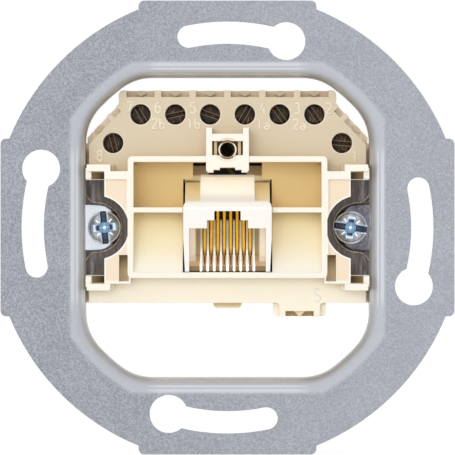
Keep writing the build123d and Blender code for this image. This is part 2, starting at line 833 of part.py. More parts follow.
def terminal_clamp(x, z, turn):
    """A brass cage clamp, turned towards its wire entry, with a solder pin through the board."""
    half = clamp_w / 2
    cage = block(-half, half, clamp_front_y, board_front_y, -clamp_h / 2, clamp_h / 2)
    chamber = clamp_chamber_w / 2
    cage -= block(-chamber, chamber, clamp_front_y + clamp_wall, board_front_y - clamp_wall / 2,
                  -clamp_h, clamp_h)
    cage -= rod(0, 0, terminal_screw_r + thread_clearance, clamp_front_y - clamp_wall,
                clamp_front_y + 2 * clamp_wall)
    pin_end = board_front_y + board_t + pin_out
    half_w = clamp_pin_w / 2
    half_t = clamp_pin_t / 2
    cage += block(-half_w, half_w, board_front_y, pin_end, -half_t, half_t)
    return Pos(x, 0, z) * Rot(0, -turn, 0) * cage


def terminal_screw(x, z, turn):
    """A slotted clamping screw, backed off by its full travel."""
    seat = clamp_front_y - terminal_travel - terminal_head_gap
    front = seat - terminal_head_h
    chamber_front = clamp_front_y + clamp_wall
    screw = rod(0, 0, terminal_head_r, front, seat)
    screw += rod(0, 0, terminal_screw_r, seat, chamber_front + terminal_head_gap)
    half = terminal_slot_w / 2
    screw -= block(-terminal_head_r, terminal_head_r, front, front + terminal_slot_depth, -half, half)
    return Pos(x, 0, z) * Rot(0, -turn, 0) * screw


# Jack

def jack_housing():
    """The jack's shell: bezel, stepped mouth, rising latch housing and a base on the board."""
    face = Polygon((-jack_foot_half, 0), (jack_foot_half, 0), (jack_half, jack_face_h / 2),
                   (jack_half, jack_face_h + jack_bezel_rise), (-jack_half, jack_face_h + jack_bezel_rise),
                   (-jack_half, jack_face_h / 2), align=None)
    top = [v for v in face.vertices() if v.Y > jack_face_h]
    bezel = slab(fillet(top, jack_corner_r), 0, jack_bezel)
    crown = side_slab([
        (0, jack_face_h),
        (jack_bezel, jack_face_h + jack_bezel_rise),
        (jack_bezel, 2 * jack_face_h),
        (0, 2 * jack_face_h),
    ], -jack_half, jack_half)
    bezel -= crown
    latch_low = jack_face_h + jack_bezel_rise
    rear_d = jack_length - jack_bezel
    latch = side_slab([
        (jack_bezel, 0),
        (jack_length, 0),
        (jack_length, latch_low + jack_latch_rise),
        (rear_d, latch_low + jack_latch_rise),
        (jack_bezel, latch_low),
    ], -jack_latch_half, jack_latch_half)
    sides = side_slab([
        (jack_bezel, 0),
        (jack_length, 0),
        (jack_length, latch_low + jack_latch_rise - jack_side_drop),
        (rear_d, latch_low + jack_latch_rise - jack_side_drop),
        (jack_bezel, latch_low - jack_side_drop),
    ], -jack_foot_half, jack_foot_half)
    shell = bezel + latch + sides

    step_top = mouth_h + mouth_step_h
    notch_top = step_top + mouth_notch_h
    mouth = rect(-mouth_half, mouth_half, 0, mouth_h)
    step = rect(-mouth_step_half, mouth_step_half, 0, step_top)
    notch = rect(-mouth_notch_half, mouth_notch_half, 0, notch_top)
    shell -= slab(mouth + step + notch, 0, mouth_depth)
    inner_half = contact_pitch * contact_count / 2 + contact_w
    relief_depth = comb_depth - 3 * contact_w
    shell -= block(-inner_half, inner_half, relief_depth, jack_length, 0, notch_top)
    shell = jack_place(shell)

    base_low = jack_point(jack_length, 0)[1]
    base_high = jack_point(jack_length, latch_low)[1]
    base = block(-jack_base_half, jack_base_half, jack_point(jack_length / 2, 0)[0], board_front_y,
                 base_low, base_high)
    base -= jack_place(block(-ring_width, ring_width, -jack_length, jack_length,
                             -ring_width, ring_width))
    base -= block(-inner_half, inner_half, 0, board_front_y, base_low, jack_point(jack_length, notch_top)[1])
    return shell + base


def contact_carrier():
    """The comb that forms the jack's floor and keeps the contacts apart."""
    floor_half = mouth_half - carrier_gap
    fins = contact_count // 2
    comb_back = mouth_depth - carrier_gap
    carrier = block(-floor_half, floor_half, carrier_floor_d, comb_back, 0, carrier_floor_t)
    for index in range(-fins, fins + 1):
        x = index * fin_pitch
        carrier += rod(x, fin_w / 2, fin_w / 2, fin_w / 2, 2 * carrier_floor_d)
        carrier += block(x - fin_w / 2, x + fin_w / 2, fin_w / 2, comb_back, fin_w / 2, fin_h)
        carrier += block(x - fin_w / 2, x + fin_w / 2, comb_depth, comb_back, 0, comb_h)
    panel_low = fins * fin_pitch + fin_w / 2 + contact_w
    panel = block(panel_low + fin_w, floor_half, comb_depth, comb_back, 0, mouth_h - carrier_gap)
    panel += block(fins * fin_pitch, panel_low + fin_w, comb_back - fin_w, comb_back, 0,
                   mouth_h - carrier_gap)
    return jack_place(carrier + both_sides(panel))


def contact_x(index):
    """The X of a contact, numbered from the left."""
    return (index - (contact_count - 1) / 2) * contact_pitch


def contact_exit_z(index):
    """The Z of a contact's pin: odd and even contacts leave in two rows."""
    high_row_z = jack_point(jack_length, contact_top_h)[1] - contact_exit_drop
    return high_row_z - (index % 2) * contact_row_gap


def contact(index):
    """One spring contact: it rises from the floor to the comb and turns back to the board."""
    exit_z = contact_exit_z(index)
    turn_d = contact_top_d + (jack_length - contact_top_d) / 2
    turn = jack_point(turn_d, contact_top_h)
    route = [
        jack_point(contact_tip_d, contact_tip_h + carrier_gap),
        jack_point(contact_top_d, contact_top_h),
        turn,
        (turn[0] + contact_t, exit_z + contact_t),
        (turn[0] + 3 * contact_t, exit_z),
        (board_front_y + board_t + pin_out, exit_z),
    ]
    x = contact_x(index)
    return side_slab(strip_outline(route, contact_t), x - contact_w / 2, x + contact_w / 2)


def all_parts():
    """Every piece, by its name."""
    parts = {
        "support_ring": support_ring(),
        "front_cover": front_cover(),
        "rear_housing": rear_housing(),
        "circuit_board": circuit_board(),
        "threaded_sleeve": threaded_sleeve(),
        "jack_housing": jack_housing(),
        "jack_contact_carrier": contact_carrier(),
        "claw_right": claw(),
        "claw_left": mirror(claw(), about=Plane.YZ),
        "claw_screw_right": claw_screw("right"),
        "claw_screw_left": mirror(claw_screw("left"), about=Plane.YZ),
    }
    for index in range(contact_count):
        parts[f"jack_contact_{index + 1}"] = contact(index)
    entry_turns = [slant_angle()] + [0.0] * 6 + [-slant_angle()]
    for index, (x, z) in enumerate(terminal_places()):
        parts[f"terminal_clamp_{index + 1}"] = terminal_clamp(x, z, entry_turns[index])
        parts[f"terminal_screw_{index + 1}"] = terminal_screw(x, z, terminal_screw_turns[index])
    return parts


os.makedirs("parts", exist_ok=True)
for name, shape in all_parts().items():
    export_step(shape, f"parts/{name}.step")
print("claw screw travel", round(screw_travel(), 4), "pivot", claw_pivot_x, claw_pivot_y)
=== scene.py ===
# %% [markdown]
# # A flush data socket insert, dressed for the camera
#
# The imported solids are a fixed frame: every piece made here is placed by the sizes of the solid
# that it stands for or lies on. This first cell loads them and keeps the box around the whole
# part.

# %% Load the frame
import math

import bmesh
import bpy
import numpy as np
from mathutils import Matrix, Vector


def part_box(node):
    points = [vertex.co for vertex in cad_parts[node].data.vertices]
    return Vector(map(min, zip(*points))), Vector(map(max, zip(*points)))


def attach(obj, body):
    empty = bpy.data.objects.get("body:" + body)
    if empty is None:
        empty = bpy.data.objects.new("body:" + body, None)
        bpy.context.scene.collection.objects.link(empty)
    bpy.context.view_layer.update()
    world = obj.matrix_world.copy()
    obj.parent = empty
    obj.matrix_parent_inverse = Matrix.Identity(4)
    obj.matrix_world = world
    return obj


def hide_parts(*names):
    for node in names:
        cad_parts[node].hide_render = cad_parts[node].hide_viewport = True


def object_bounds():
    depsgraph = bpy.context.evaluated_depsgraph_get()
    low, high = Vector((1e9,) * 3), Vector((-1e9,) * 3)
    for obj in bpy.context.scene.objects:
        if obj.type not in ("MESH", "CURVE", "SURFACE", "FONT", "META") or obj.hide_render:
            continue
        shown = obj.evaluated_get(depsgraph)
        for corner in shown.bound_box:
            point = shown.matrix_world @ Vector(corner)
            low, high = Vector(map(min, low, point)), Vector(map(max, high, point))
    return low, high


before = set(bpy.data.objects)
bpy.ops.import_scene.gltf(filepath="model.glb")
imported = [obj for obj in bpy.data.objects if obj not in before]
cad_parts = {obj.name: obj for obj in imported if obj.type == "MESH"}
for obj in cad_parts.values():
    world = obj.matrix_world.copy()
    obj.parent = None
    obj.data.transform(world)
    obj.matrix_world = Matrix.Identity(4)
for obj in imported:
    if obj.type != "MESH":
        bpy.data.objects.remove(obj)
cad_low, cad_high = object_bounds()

# %% [markdown]
# ## How a surface becomes a mesh
#
# A surface here is a function of two parameters, worked out for a whole grid of values at once.
# The grid's corners become the vertices and each cell becomes one four-sided face. Every grid
# closes on itself like a tube: the last column of cells leads back to the first. A piece can be
# made of several grids, which are put into one mesh.

# %% Grids and pieces
MM = 0.001
SEAM = 2e-6
SHARP_ANGLE = math.radians(40.0)
SIDES = (("left", -1), ("right", 1))


def grid_quads(rows, columns):
    """Faces of a closed grid: each joins vertex (i, j) to (i, j+1), (i+1, j+1) and (i+1, j)."""
    i, j = np.meshgrid(np.arange(rows - 1), np.arange(columns), indexing="ij")
    k = (j + 1) % columns
    quads = np.stack([i * columns + j, i * columns + k, (i + 1) * columns + k, (i + 1) * columns + j], -1)
    return quads.reshape(-1, 4)


def close_seams(mesh):
    """Merge doubled points at seams and poles, and turn every face outwards."""
    shell = bmesh.new()
    shell.from_mesh(mesh)
    bmesh.ops.remove_doubles(shell, verts=shell.verts, dist=SEAM)
    bmesh.ops.dissolve_degenerate(shell, edges=shell.edges, dist=SEAM / 2)
    bmesh.ops.recalc_face_normals(shell, faces=shell.faces)
    shell.to_mesh(mesh)
    shell.free()


def mesh_piece(name, grids, body, replaces=()):
    """Join closed grids of points, rows x columns x 3 in millimetres, into one object at the origin."""
    vertices, faces, start = [], [], 0
    for points in grids:
        rows, columns, _ = points.shape
        vertices.append(points.reshape(-1, 3))
        faces.append(grid_quads(rows, columns) + start)
        start += rows * columns
    mesh = bpy.data.meshes.new(name)
    mesh.from_pydata(np.concatenate(vertices) * MM, [], np.concatenate(faces).tolist())
    close_seams(mesh)
    piece = bpy.data.objects.new(name, mesh)
    bpy.context.scene.collection.objects.link(piece)
    mesh.polygons.foreach_set("use_smooth", np.ones(len(mesh.polygons), bool))
    mesh.set_sharp_from_angle(angle=SHARP_ANGLE)
    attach(piece, body)
    if replaces:
        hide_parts(*replaces)
    print(name, len(mesh.polygons), "faces")
    return piece


# %% [markdown]
# ## Turned and swept shapes
#
# Screws and sleeves are turned: a profile of radius against depth goes round the Y axis. Wires
# and raised marks are swept: a small closed profile is carried along a path, and at each point
# it stands square to the path. Both are one formula over a grid.

# %% Lathe and sweep
def turned_box(name):
    """Front, back, centre (x, z) and radius in millimetres of a node that is round about Y."""
    low, high = (np.array(corner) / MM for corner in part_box(name))
    return low[1], high[1], (low + high)[[0, 2]] / 2, (high[0] - low[0]) / 2


def turn_about(centre, r, angle, y):
    """The points (x0 + r cos a, y, z0 + r sin a)."""
    return np.stack([centre[0] + r * np.cos(angle), y, centre[1] + r * np.sin(angle)], -1)


def lathe(radii, depths, centre, wave, steps):
    """Turn a profile about Y, with a wave of depth and angle added to its radius."""
    angle = np.linspace(0, 2 * math.pi, steps, endpoint=False)[None, :]
    y = depths[:, None] + np.zeros(steps)
    return turn_about(centre, radii[:, None] + wave(y, angle), angle, y)


def sweep(path, profile, side=(1.0, 0.0, 0.0), widths=1.0):
    """Carry a closed profile of (across, up) pairs along a path of points.

    The along direction is the path's own slope, across is the part of the side vector that is
    square to it, and up is their cross product. Widths multiplies across, one value per point.
    """
    along = np.gradient(path, axis=0)
    along /= np.linalg.norm(along, axis=1, keepdims=True)
    across = np.array(side) - (along @ np.array(side))[:, None] * along
    across /= np.linalg.norm(across, axis=1, keepdims=True)
    up = np.cross(along, across)
    across = across * np.broadcast_to(widths, len(path))[:, None]
    return path[:, None] + profile[None, :, 0:1] * across[:, None] + profile[None, :, 1:2] * up[:, None]


def closed_ends(points):
    """Add a pole at each end of a swept grid, so that the tube is shut."""
    first, last = (np.repeat(end.mean(1, keepdims=True), points.shape[1], 1)
                   for end in (points[:1], points[-1:]))
    return np.concatenate([first, points, last])


def ribbon(first, second, thickness):
    """A thin closed strip between two lines of points: its section has four corners."""
    back = np.array([0, thickness, 0])
    return closed_ends(np.stack([first, second, second + back, first + back], 1))


def soft_rectangle(width, height, corner, steps):
    """A rectangle with rounded corners: a superellipse, |x/a|^n + |y/b|^n = 1 with n = 2/corner."""
    a = np.linspace(0, 2 * math.pi, steps, endpoint=False)
    x = width / 2 * np.sign(np.cos(a)) * np.abs(np.cos(a)) ** corner
    y = height / 2 * np.sign(np.sin(a)) * np.abs(np.sin(a)) ** corner
    return np.stack([x, y], -1)


def quadratic(a, b, c, t):
    """(1-t)^2 A + 2t(1-t) B + t^2 C: the curve leaves A towards B and comes to C from B."""
    return (1 - t) ** 2 * a + 2 * t * (1 - t) * b + t ** 2 * c


def smooth_step(value, low, high):
    """0 before low, 1 past high, and t^2 (3 - 2t) in between."""
    t = np.clip((value - low) / (high - low), 0, 1)
    return t * t * (3 - 2 * t)


# %% [markdown]
# ## Finishes
#
# Each finish is a small tree of nodes that reads Object coordinates, so that a pattern keeps its
# place and its size in millimetres on the real thing. One class adds and joins the nodes of any
# tree. A second one adds what every material needs: the place in millimetres, noise, edges,
# hollows and bounds. Every finish then varies its colour, and most vary roughness and height.

# %% Wiring of node trees
class Wiring:
    """Short ways to add and join the nodes of one tree."""

    def __init__(self, tree):
        self.tree = tree
        tree.nodes.clear()

    def add(self, kind, inputs=None, **settings):
        """A node with these settings, and with a number, a colour or a link on each named input."""
        node = self.tree.nodes.new(kind)
        for key, value in settings.items():
            setattr(node, key, value)
        for key, value in (inputs or {}).items():
            self.join(value, node.inputs[key])
        return node

    def join(self, source, target):
        """Link an output to an input, or write a number, a list or a colour (a tuple) on it."""
        if isinstance(source, tuple):
            target.default_value = (*source, 1.0)
        elif isinstance(source, (int, float, list)):
            target.default_value = source
        else:
            self.tree.links.new(source, target)

    def math(self, operation, *values):
        return self.add("ShaderNodeMath", dict(enumerate(values)), operation=operation).outputs[0]

    def largest(self, first, *others):
        for other in others:
            first = self.math("MAXIMUM", first, other)
        return first

    def seen_straight(self):
        """1 for rays that come straight from the camera, or to it by way of a mirror or glass."""
        ray = self.add("ShaderNodeLightPath").outputs
        return self.largest(ray["Is Camera Ray"], ray["Is Glossy Ray"], ray["Is Transmission Ray"])

    def white(self, kind, strength):
        """A white emitter or a white background."""
        return self.add(kind, {"Color": (1.0, 1.0, 1.0), "Strength": strength}).outputs[0]

    def blend(self, share, first, second):
        """The first shader with this share of the second one."""
        return self.add("ShaderNodeMixShader", {0: share, 1: first, 2: second}).outputs[0]


# %% [markdown]
# A finish knows four measures of its place, all in millimetres: x, the distance across from the
# middle plane, the depth behind the wall plane and the height. A region of the surface is a
# product of bounds on these measures, and a colour is painted over the last one by that product.

# %% Material helpers
class Finish(Wiring):
    """A material with a Principled shader and the patterns that the finishes share."""

    def __init__(self, name, metallic=0.0, roughness=0.5):
        self.material = bpy.data.materials.new(name)
        self.material.use_nodes = True
        super().__init__(self.material.node_tree)
        self.shader = self.add("ShaderNodeBsdfPrincipled", {"Metallic": metallic, "Roughness": roughness})
        self.output = self.add("ShaderNodeOutputMaterial", {0: self.shader.outputs[0]}).inputs[0]
        self.place = self.add("ShaderNodeTexCoord").outputs["Object"]
        place = self.add("ShaderNodeSeparateXYZ", {0: self.place}).outputs
        self.x, self.depth, self.height = (self.math("MULTIPLY", place[axis], 1 / MM) for axis in "XYZ")
        self.across = self.math("ABSOLUTE", self.x)

    def set(self, name, value):
        self.join(value, self.shader.inputs[name])

    def colour(self, source):
        self.set("Base Color", source)

    def glow(self, colour, strength):
        self.set("Emission Color", colour)
        self.set("Emission Strength", strength)

    def scaled(self, scale):
        return self.add("ShaderNodeMapping", {"Scale": scale, "Vector": self.place}).outputs[0]

    def noise(self, size_mm, detail=2.0, rough=0.5, stretch=(1, 1, 1)):
        """Cloudy noise whose blobs are about this many millimetres wide."""
        place = self.scaled([s / (size_mm * MM) for s in stretch])
        return self.add("ShaderNodeTexNoise", {"Scale": 1.0, "Detail": detail, "Roughness": rough,
                                               "Vector": place}).outputs["Fac"]

    def cells(self, size_mm):
        """Random value of each cell of a Voronoi pattern of about this cell size."""
        place = self.scaled([1 / (size_mm * MM)] * 3)
        return self.gray(self.add("ShaderNodeTexVoronoi", {"Scale": 1.0, "Vector": place}).outputs["Color"])

    def gray(self, colour):
        return self.add("ShaderNodeRGBToBW", {0: colour}).outputs[0]

    def attribute(self, name):
        """A number that mark_points keeps on the piece."""
        return self.add("ShaderNodeAttribute", attribute_name=name).outputs["Fac"]

    def distance(self, a, b):
        """The root of a^2 + b^2."""
        return self.math("SQRT", self.math("ADD", self.math("MULTIPLY", a, a), self.math("MULTIPLY", b, b)))

    def ramp(self, factor, *stops):
        """Colours at given values of the factor, blended between them."""
        node = self.add("ShaderNodeValToRGB", {0: factor})
        element = node.color_ramp.elements
        while len(element) < len(stops):
            element.new(0.5)
        for item, (position, colour) in zip(element, stops):
            item.position = position
            item.color = (*colour, 1.0)
        return node.outputs[0]

    def between(self, value, low, high):
        """0 before low, 1 past high, smooth in between; it falls where low is above high."""
        return self.add("ShaderNodeMapRange", {"From Min": low, "From Max": high, "Value": value},
                        interpolation_type="SMOOTHSTEP").outputs[0]

    def within(self, value, low, high, soft=0.15):
        """1 while a value lies between two bounds, with soft ends."""
        return self.product(self.between(value, low - soft, low + soft),
                            self.between(value, high + soft, high - soft))

    def product(self, *factors):
        """All factors multiplied. One that is given as (value, low, high, soft) means its within."""
        first, *others = [self.within(*f) if isinstance(f, tuple) else f for f in factors]
        for other in others:
            first = self.math("MULTIPLY", first, other)
        return first

    def mix(self, factor, a, b):
        return self.add("ShaderNodeMix", {0: factor, 6: a, 7: b}, data_type="RGBA").outputs[2]

    def paint(self, tone, *coats):
        """Lay coats over a tone one after the other: each is a region and its colour."""
        for region, colour in coats:
            tone = self.mix(region, tone, colour)
        return tone

    def rounded(self, radius_mm):
        """The surface's normal as if its sharp edges had this radius."""
        return self.add("ShaderNodeBevel", {"Radius": radius_mm * MM}, samples=6).outputs[0]

    def edges(self, radius_mm):
        """1 beside a sharp edge, 0 on flat ground: how far a rounded normal leaves the true one."""
        true = self.add("ShaderNodeNewGeometry").outputs["Normal"]
        turn = self.add("ShaderNodeVectorMath", {0: self.rounded(radius_mm), 1: true},
                        operation="DOT_PRODUCT")
        return self.between(self.math("SUBTRACT", 1.0, turn.outputs["Value"]), 0.01, 0.12)

    def openness(self, reach_mm):
        """1 in the open and less in a hollow: the free share of the space within this reach."""
        return self.add("ShaderNodeAmbientOcclusion", {"Distance": reach_mm * MM}, samples=6).outputs["AO"]

    def rough(self, factor, low, high):
        node = self.add("ShaderNodeMapRange", {"To Min": low, "To Max": high, "Value": factor})
        self.set("Roughness", node.outputs[0])

    def bump(self, height, depth_mm, edge_mm=0.0):
        """Raise the surface by height x depth; edge_mm also rounds sharp edges in the shading."""
        node = self.add("ShaderNodeBump", {"Strength": 1.0, "Distance": depth_mm * MM, "Height": height})
        if edge_mm:
            self.join(self.rounded(edge_mm), node.inputs["Normal"])
        self.set("Normal", node.outputs[0])

    def worked(self, pattern, low, high, depth_mm, edge_mm=0.05):
        """Let a pattern set the roughness and the bump, and hand the material over."""
        self.rough(pattern, low, high)
        self.bump(pattern, depth_mm, edge_mm)
        return self.material


def mark_points(piece, name, values):
    """Store one number per point on a piece, as a formula of its points in millimetres."""
    points = np.empty(len(piece.data.vertices) * 3)
    piece.data.vertices.foreach_get("co", points)
    layer = piece.data.attributes.new(name, "FLOAT", "POINT")
    layer.data.foreach_set("value", values(points.reshape(-1, 3) / MM).astype(np.float32))


def dress(material, *names):
    """Give a finish to the material slot of each named node or piece."""
    for name in names:
        target = bpy.data.objects[name]
        target.data.materials.clear()
        target.data.materials.append(material)
    print(material.name, "on", ", ".join(names))


# %% [markdown]
# ## The ring's zinc coat
#
# The ring is pressed from galvanised sheet. Its coat looks like fine grey sand with faint clouds,
# because the zinc crystals are only a fifth of a millimetre wide. It is painted a little lighter on
# the right, as painted light. The rolled edge is painted paler, with a few thin bright lines along
# the four straight sides: a painted highlight of the bend. The side flanges around the claw cups
# are painted dark as painted shade, with a paler strip, and the collar's inner wall is painted
# a little lighter.

# %% Galvanised steel
OPENING_HALF_WIDTH, OPENING_HALF_HEIGHT, OPENING_RADIUS = 22.3, 23.6, 27.6


def galvanised_steel():
    steel = Finish("galvanised_steel", metallic=0.85)
    across, up, depth = steel.across, steel.math("ABSOLUTE", steel.height), steel.depth
    grain = steel.math("MULTIPLY_ADD", steel.noise(0.22, 3.0, 0.7), 0.5, steel.product(steel.cells(0.2), 0.5))
    sand = steel.math("MULTIPLY_ADD", steel.noise(6.0, 3.0, 0.55), 0.16, steel.product(grain, 0.84))
    flat = steel.ramp(sand, (0.34, (0.29, 0.305, 0.345)), (0.5, (0.37, 0.39, 0.435)),
                      (0.66, (0.48, 0.5, 0.555)))
    # Painted light: the coat is a little lighter towards the right.
    flat = steel.mix(steel.product(steel.between(steel.x, -36.0, 36.0), 0.3), flat, (0.52, 0.54, 0.59))

    # Painted highlight: the rolled edge is painted paler, and thin bright lines are painted along the four
    # straight sides.
    past = steel.largest(steel.math("SUBTRACT", across, OPENING_HALF_WIDTH),
                         steel.math("SUBTRACT", up, OPENING_HALF_HEIGHT),
                         steel.math("SUBTRACT", steel.distance(across, up), OPENING_RADIUS))
    bend_streaks = steel.add("ShaderNodeTexNoise", {"Scale": 3.6, "Detail": 2.0, "W": past}, noise_dimensions="1D")
    lines = steel.product(steel.between(bend_streaks.outputs["Fac"], 0.42, 0.62),
                          steel.between(steel.math("MINIMUM", across, up), 13.5, 10.5))
    bend_highlight = steel.mix(grain, (0.48, 0.5, 0.55), (0.6, 0.62, 0.67))
    bend_highlight = steel.mix(steel.product(lines, 0.7), bend_highlight, (0.84, 0.86, 0.9))

    # Painted shade: the side flanges around the claw cups are painted dark, with blotches and a paler strip,
    # and made less metallic.
    shade_mask = steel.product(steel.between(up, 7.65, 7.45), steel.between(across, 22.5, 22.1),
                         steel.between(depth, 2.0, 3.3))
    # Painted light: the collar's inner wall is painted a little lighter.
    inner_wall = steel.product(steel.between(depth, 0.4, 2.2), steel.math("SUBTRACT", 1.0, shade_mask), 0.3)
    shade_blotches = steel.noise(1.2, 2.0, 0.6, stretch=(2.5, 1, 0.35))
    paler_strip = steel.product((across, 20.9, 21.7, 0.35), steel.between(shade_blotches, 0.35, 0.6), 0.7)
    flange_shade = steel.ramp(shade_blotches, (0.35, (0.06, 0.048, 0.046)), (0.55, (0.12, 0.1, 0.095)),
                     (0.75, (0.24, 0.22, 0.21)))
    flange_shade = steel.paint(flange_shade, (paler_strip, (0.42, 0.4, 0.4)), (steel.product(grain, 0.7), (0.13, 0.11, 0.105)))
    steel.colour(steel.paint(flat, (steel.between(past, 2.7, 1.9), bend_highlight), (inner_wall, (0.5, 0.49, 0.49)),
                             (shade_mask, flange_shade)))
    steel.set("Metallic", steel.math("MULTIPLY_ADD", shade_mask, -0.6, 0.85))
    return steel.worked(grain, 0.36, 0.54, 0.008, 0.12)


dress(galvanised_steel(), "support_ring")

# %% [markdown]
# ## The sheared edge around each claw cup
#
# The press first shears a line into the sheet and then draws the cup down inside it. On the real
# ring the line is a thin bright lip with a brown tint of oil: it runs round the D of the cup and
# climbs the collar's wall at both ends. Behind it the drawn sheet slopes down; it is painted dark
# as shade. The lip is a round bead along that line, and the slope is a thin closed ribbon between
# two lines.

# %% Cup lips and cup slopes
CUP_X = 20.6


def cup_line(radius, wall_x, wall_z, front_y, wall_y, steps=18):
    """A D in plan: a quadratic curve from the wall, a half circle about CUP_X, and the curve back."""
    t = np.linspace(0, 1, steps, endpoint=False)[:, None]
    wall = np.array([wall_x, wall_y, wall_z])
    bend = np.array([wall_x - 0.5, front_y, radius + 0.1])
    ends = quadratic(wall, bend, np.array([CUP_X, front_y, radius]), t)
    angle = np.radians(np.linspace(90, 270, 3 * steps))
    half_circle = turn_about((CUP_X, 0.0), radius, angle, np.full(len(angle), front_y))
    return np.concatenate([ends, half_circle, ends[::-1] * (1, 1, -1)])


def two_tone_steel(name, dark, light):
    edge = Finish(name, metallic=0.6, roughness=0.45)
    grain = edge.noise(0.5, 3.0, 0.6)
    edge.colour(edge.ramp(grain, (0.35, dark), (0.65, light)))
    edge.bump(grain, 0.01)
    return edge.material


lip_finish = two_tone_steel("cup_lip_steel", (0.26, 0.2, 0.14), (0.62, 0.52, 0.4))
# Painted shade: the slope down into the cup is dark because it lies in shadow.
shaded_slope_finish = two_tone_steel("cup_slope_painted_shade", (0.05, 0.042, 0.04), (0.2, 0.17, 0.165))
lip_bead = soft_rectangle(0.2, 0.2, corner=1.0, steps=8)
for side, sign in SIDES:
    lip_line = cup_line(3.93, wall_x=22.7, wall_z=6.6, front_y=3.4, wall_y=1.7) * (sign, 1, 1)
    low_line = cup_line(3.5, wall_x=22.8, wall_z=3.5, front_y=4.15, wall_y=4.0) * (sign, 1, 1)
    lip = closed_ends(sweep(lip_line, lip_bead, side=(0.0, 1.0, 0.0)))
    mesh_piece(f"cup_lip_{side}", [lip], "insert")
    mesh_piece(f"cup_slope_{side}", [ribbon(lip_line, low_line, 0.06)], "insert")
    dress(lip_finish, f"cup_lip_{side}")
    dress(shaded_slope_finish, f"cup_slope_{side}")

# %% [markdown]
# ## Cream plastic
#
# The cover and the rear housing are moulded in an ivory plastic with a soft gloss. A little light
# travels inside it, so the colour has a small subsurface part. Thin edges are painted paler than
# the ground beside them as a painted highlight, and hollows are painted warmer and darker as painted
# shade. The tone goes from near-white on the front rims to tan on the deck, more so towards the top,
# and to gold on the floors of the pockets: this too is painted shade.

# %% Recipe of a moulding
RIM = (0.96, 0.91, 0.8)
HOLLOW_SHADE = (0.56, 0.37, 0.16)


def moulded(name, tone, rim=RIM, edge=0.8, hollow_shade=0.24, glow=None):
    """Finish for a moulding: a tone for the open ground, painted highlights on the edges and painted
    shade in the hollows.

    glow gives a share of the tone as emission: painted light where the walls are thin.
    """
    plastic = Finish(name)
    for key, value in (("Subsurface Weight", 0.1), ("Subsurface Radius", [1.0, 0.7, 0.4]),
                       ("Subsurface Scale", 0.5 * MM), ("IOR", 1.5)):
        plastic.set(key, value)
    free = plastic.openness(2.5)
    # Painted highlight: sharp edges in the open are painted paler; edge sets how much.
    painted_highlight = plastic.product(plastic.edges(0.16), plastic.between(free, 0.6, 0.85), edge)
    # Painted shade: hollows are painted darker and warmer.
    ground = plastic.paint(
        tone(plastic), (plastic.product(plastic.between(free, 0.8, 0.15), hollow_shade), HOLLOW_SHADE),
        (plastic.product(plastic.noise(7.0, 2.0, 0.5), 0.08), (0.9, 0.78, 0.6)), (painted_highlight, rim))
    plastic.colour(ground)
    # Painted light: the ground colour also shines a little as emission, though the plastic is no lamp.
    if glow:
        plastic.glow(ground, glow(plastic))
    return plastic.worked(plastic.noise(0.35, 2.0, 0.6), 0.3, 0.46, 0.003, 0.1)


# %% [markdown]
# The cover has a colour of its own for each region: the rim, the deck, the floors of the pockets
# above and below the rib, the panel beside a claw bay with its pale hem, the ledges of the clip
# rail, the slot of the empty shield terminal, the rims of the wells, the ring about the sleeve,
# the bars in its window, the parts behind the deck and the narrow ways beside the bays. Much of
# this is painted light and shade: the deck darkens towards the top, and the pocket floors, the
# shield slot and the narrow ways darken with depth, as painted shade; the bay's pale hem and the
# well rims are painted highlights; the slanted ledges are painted lighter and given a painted glow.

# %% Cover and rear housing
SLEEVE_Z, BAY_X = 12.15, 20.4


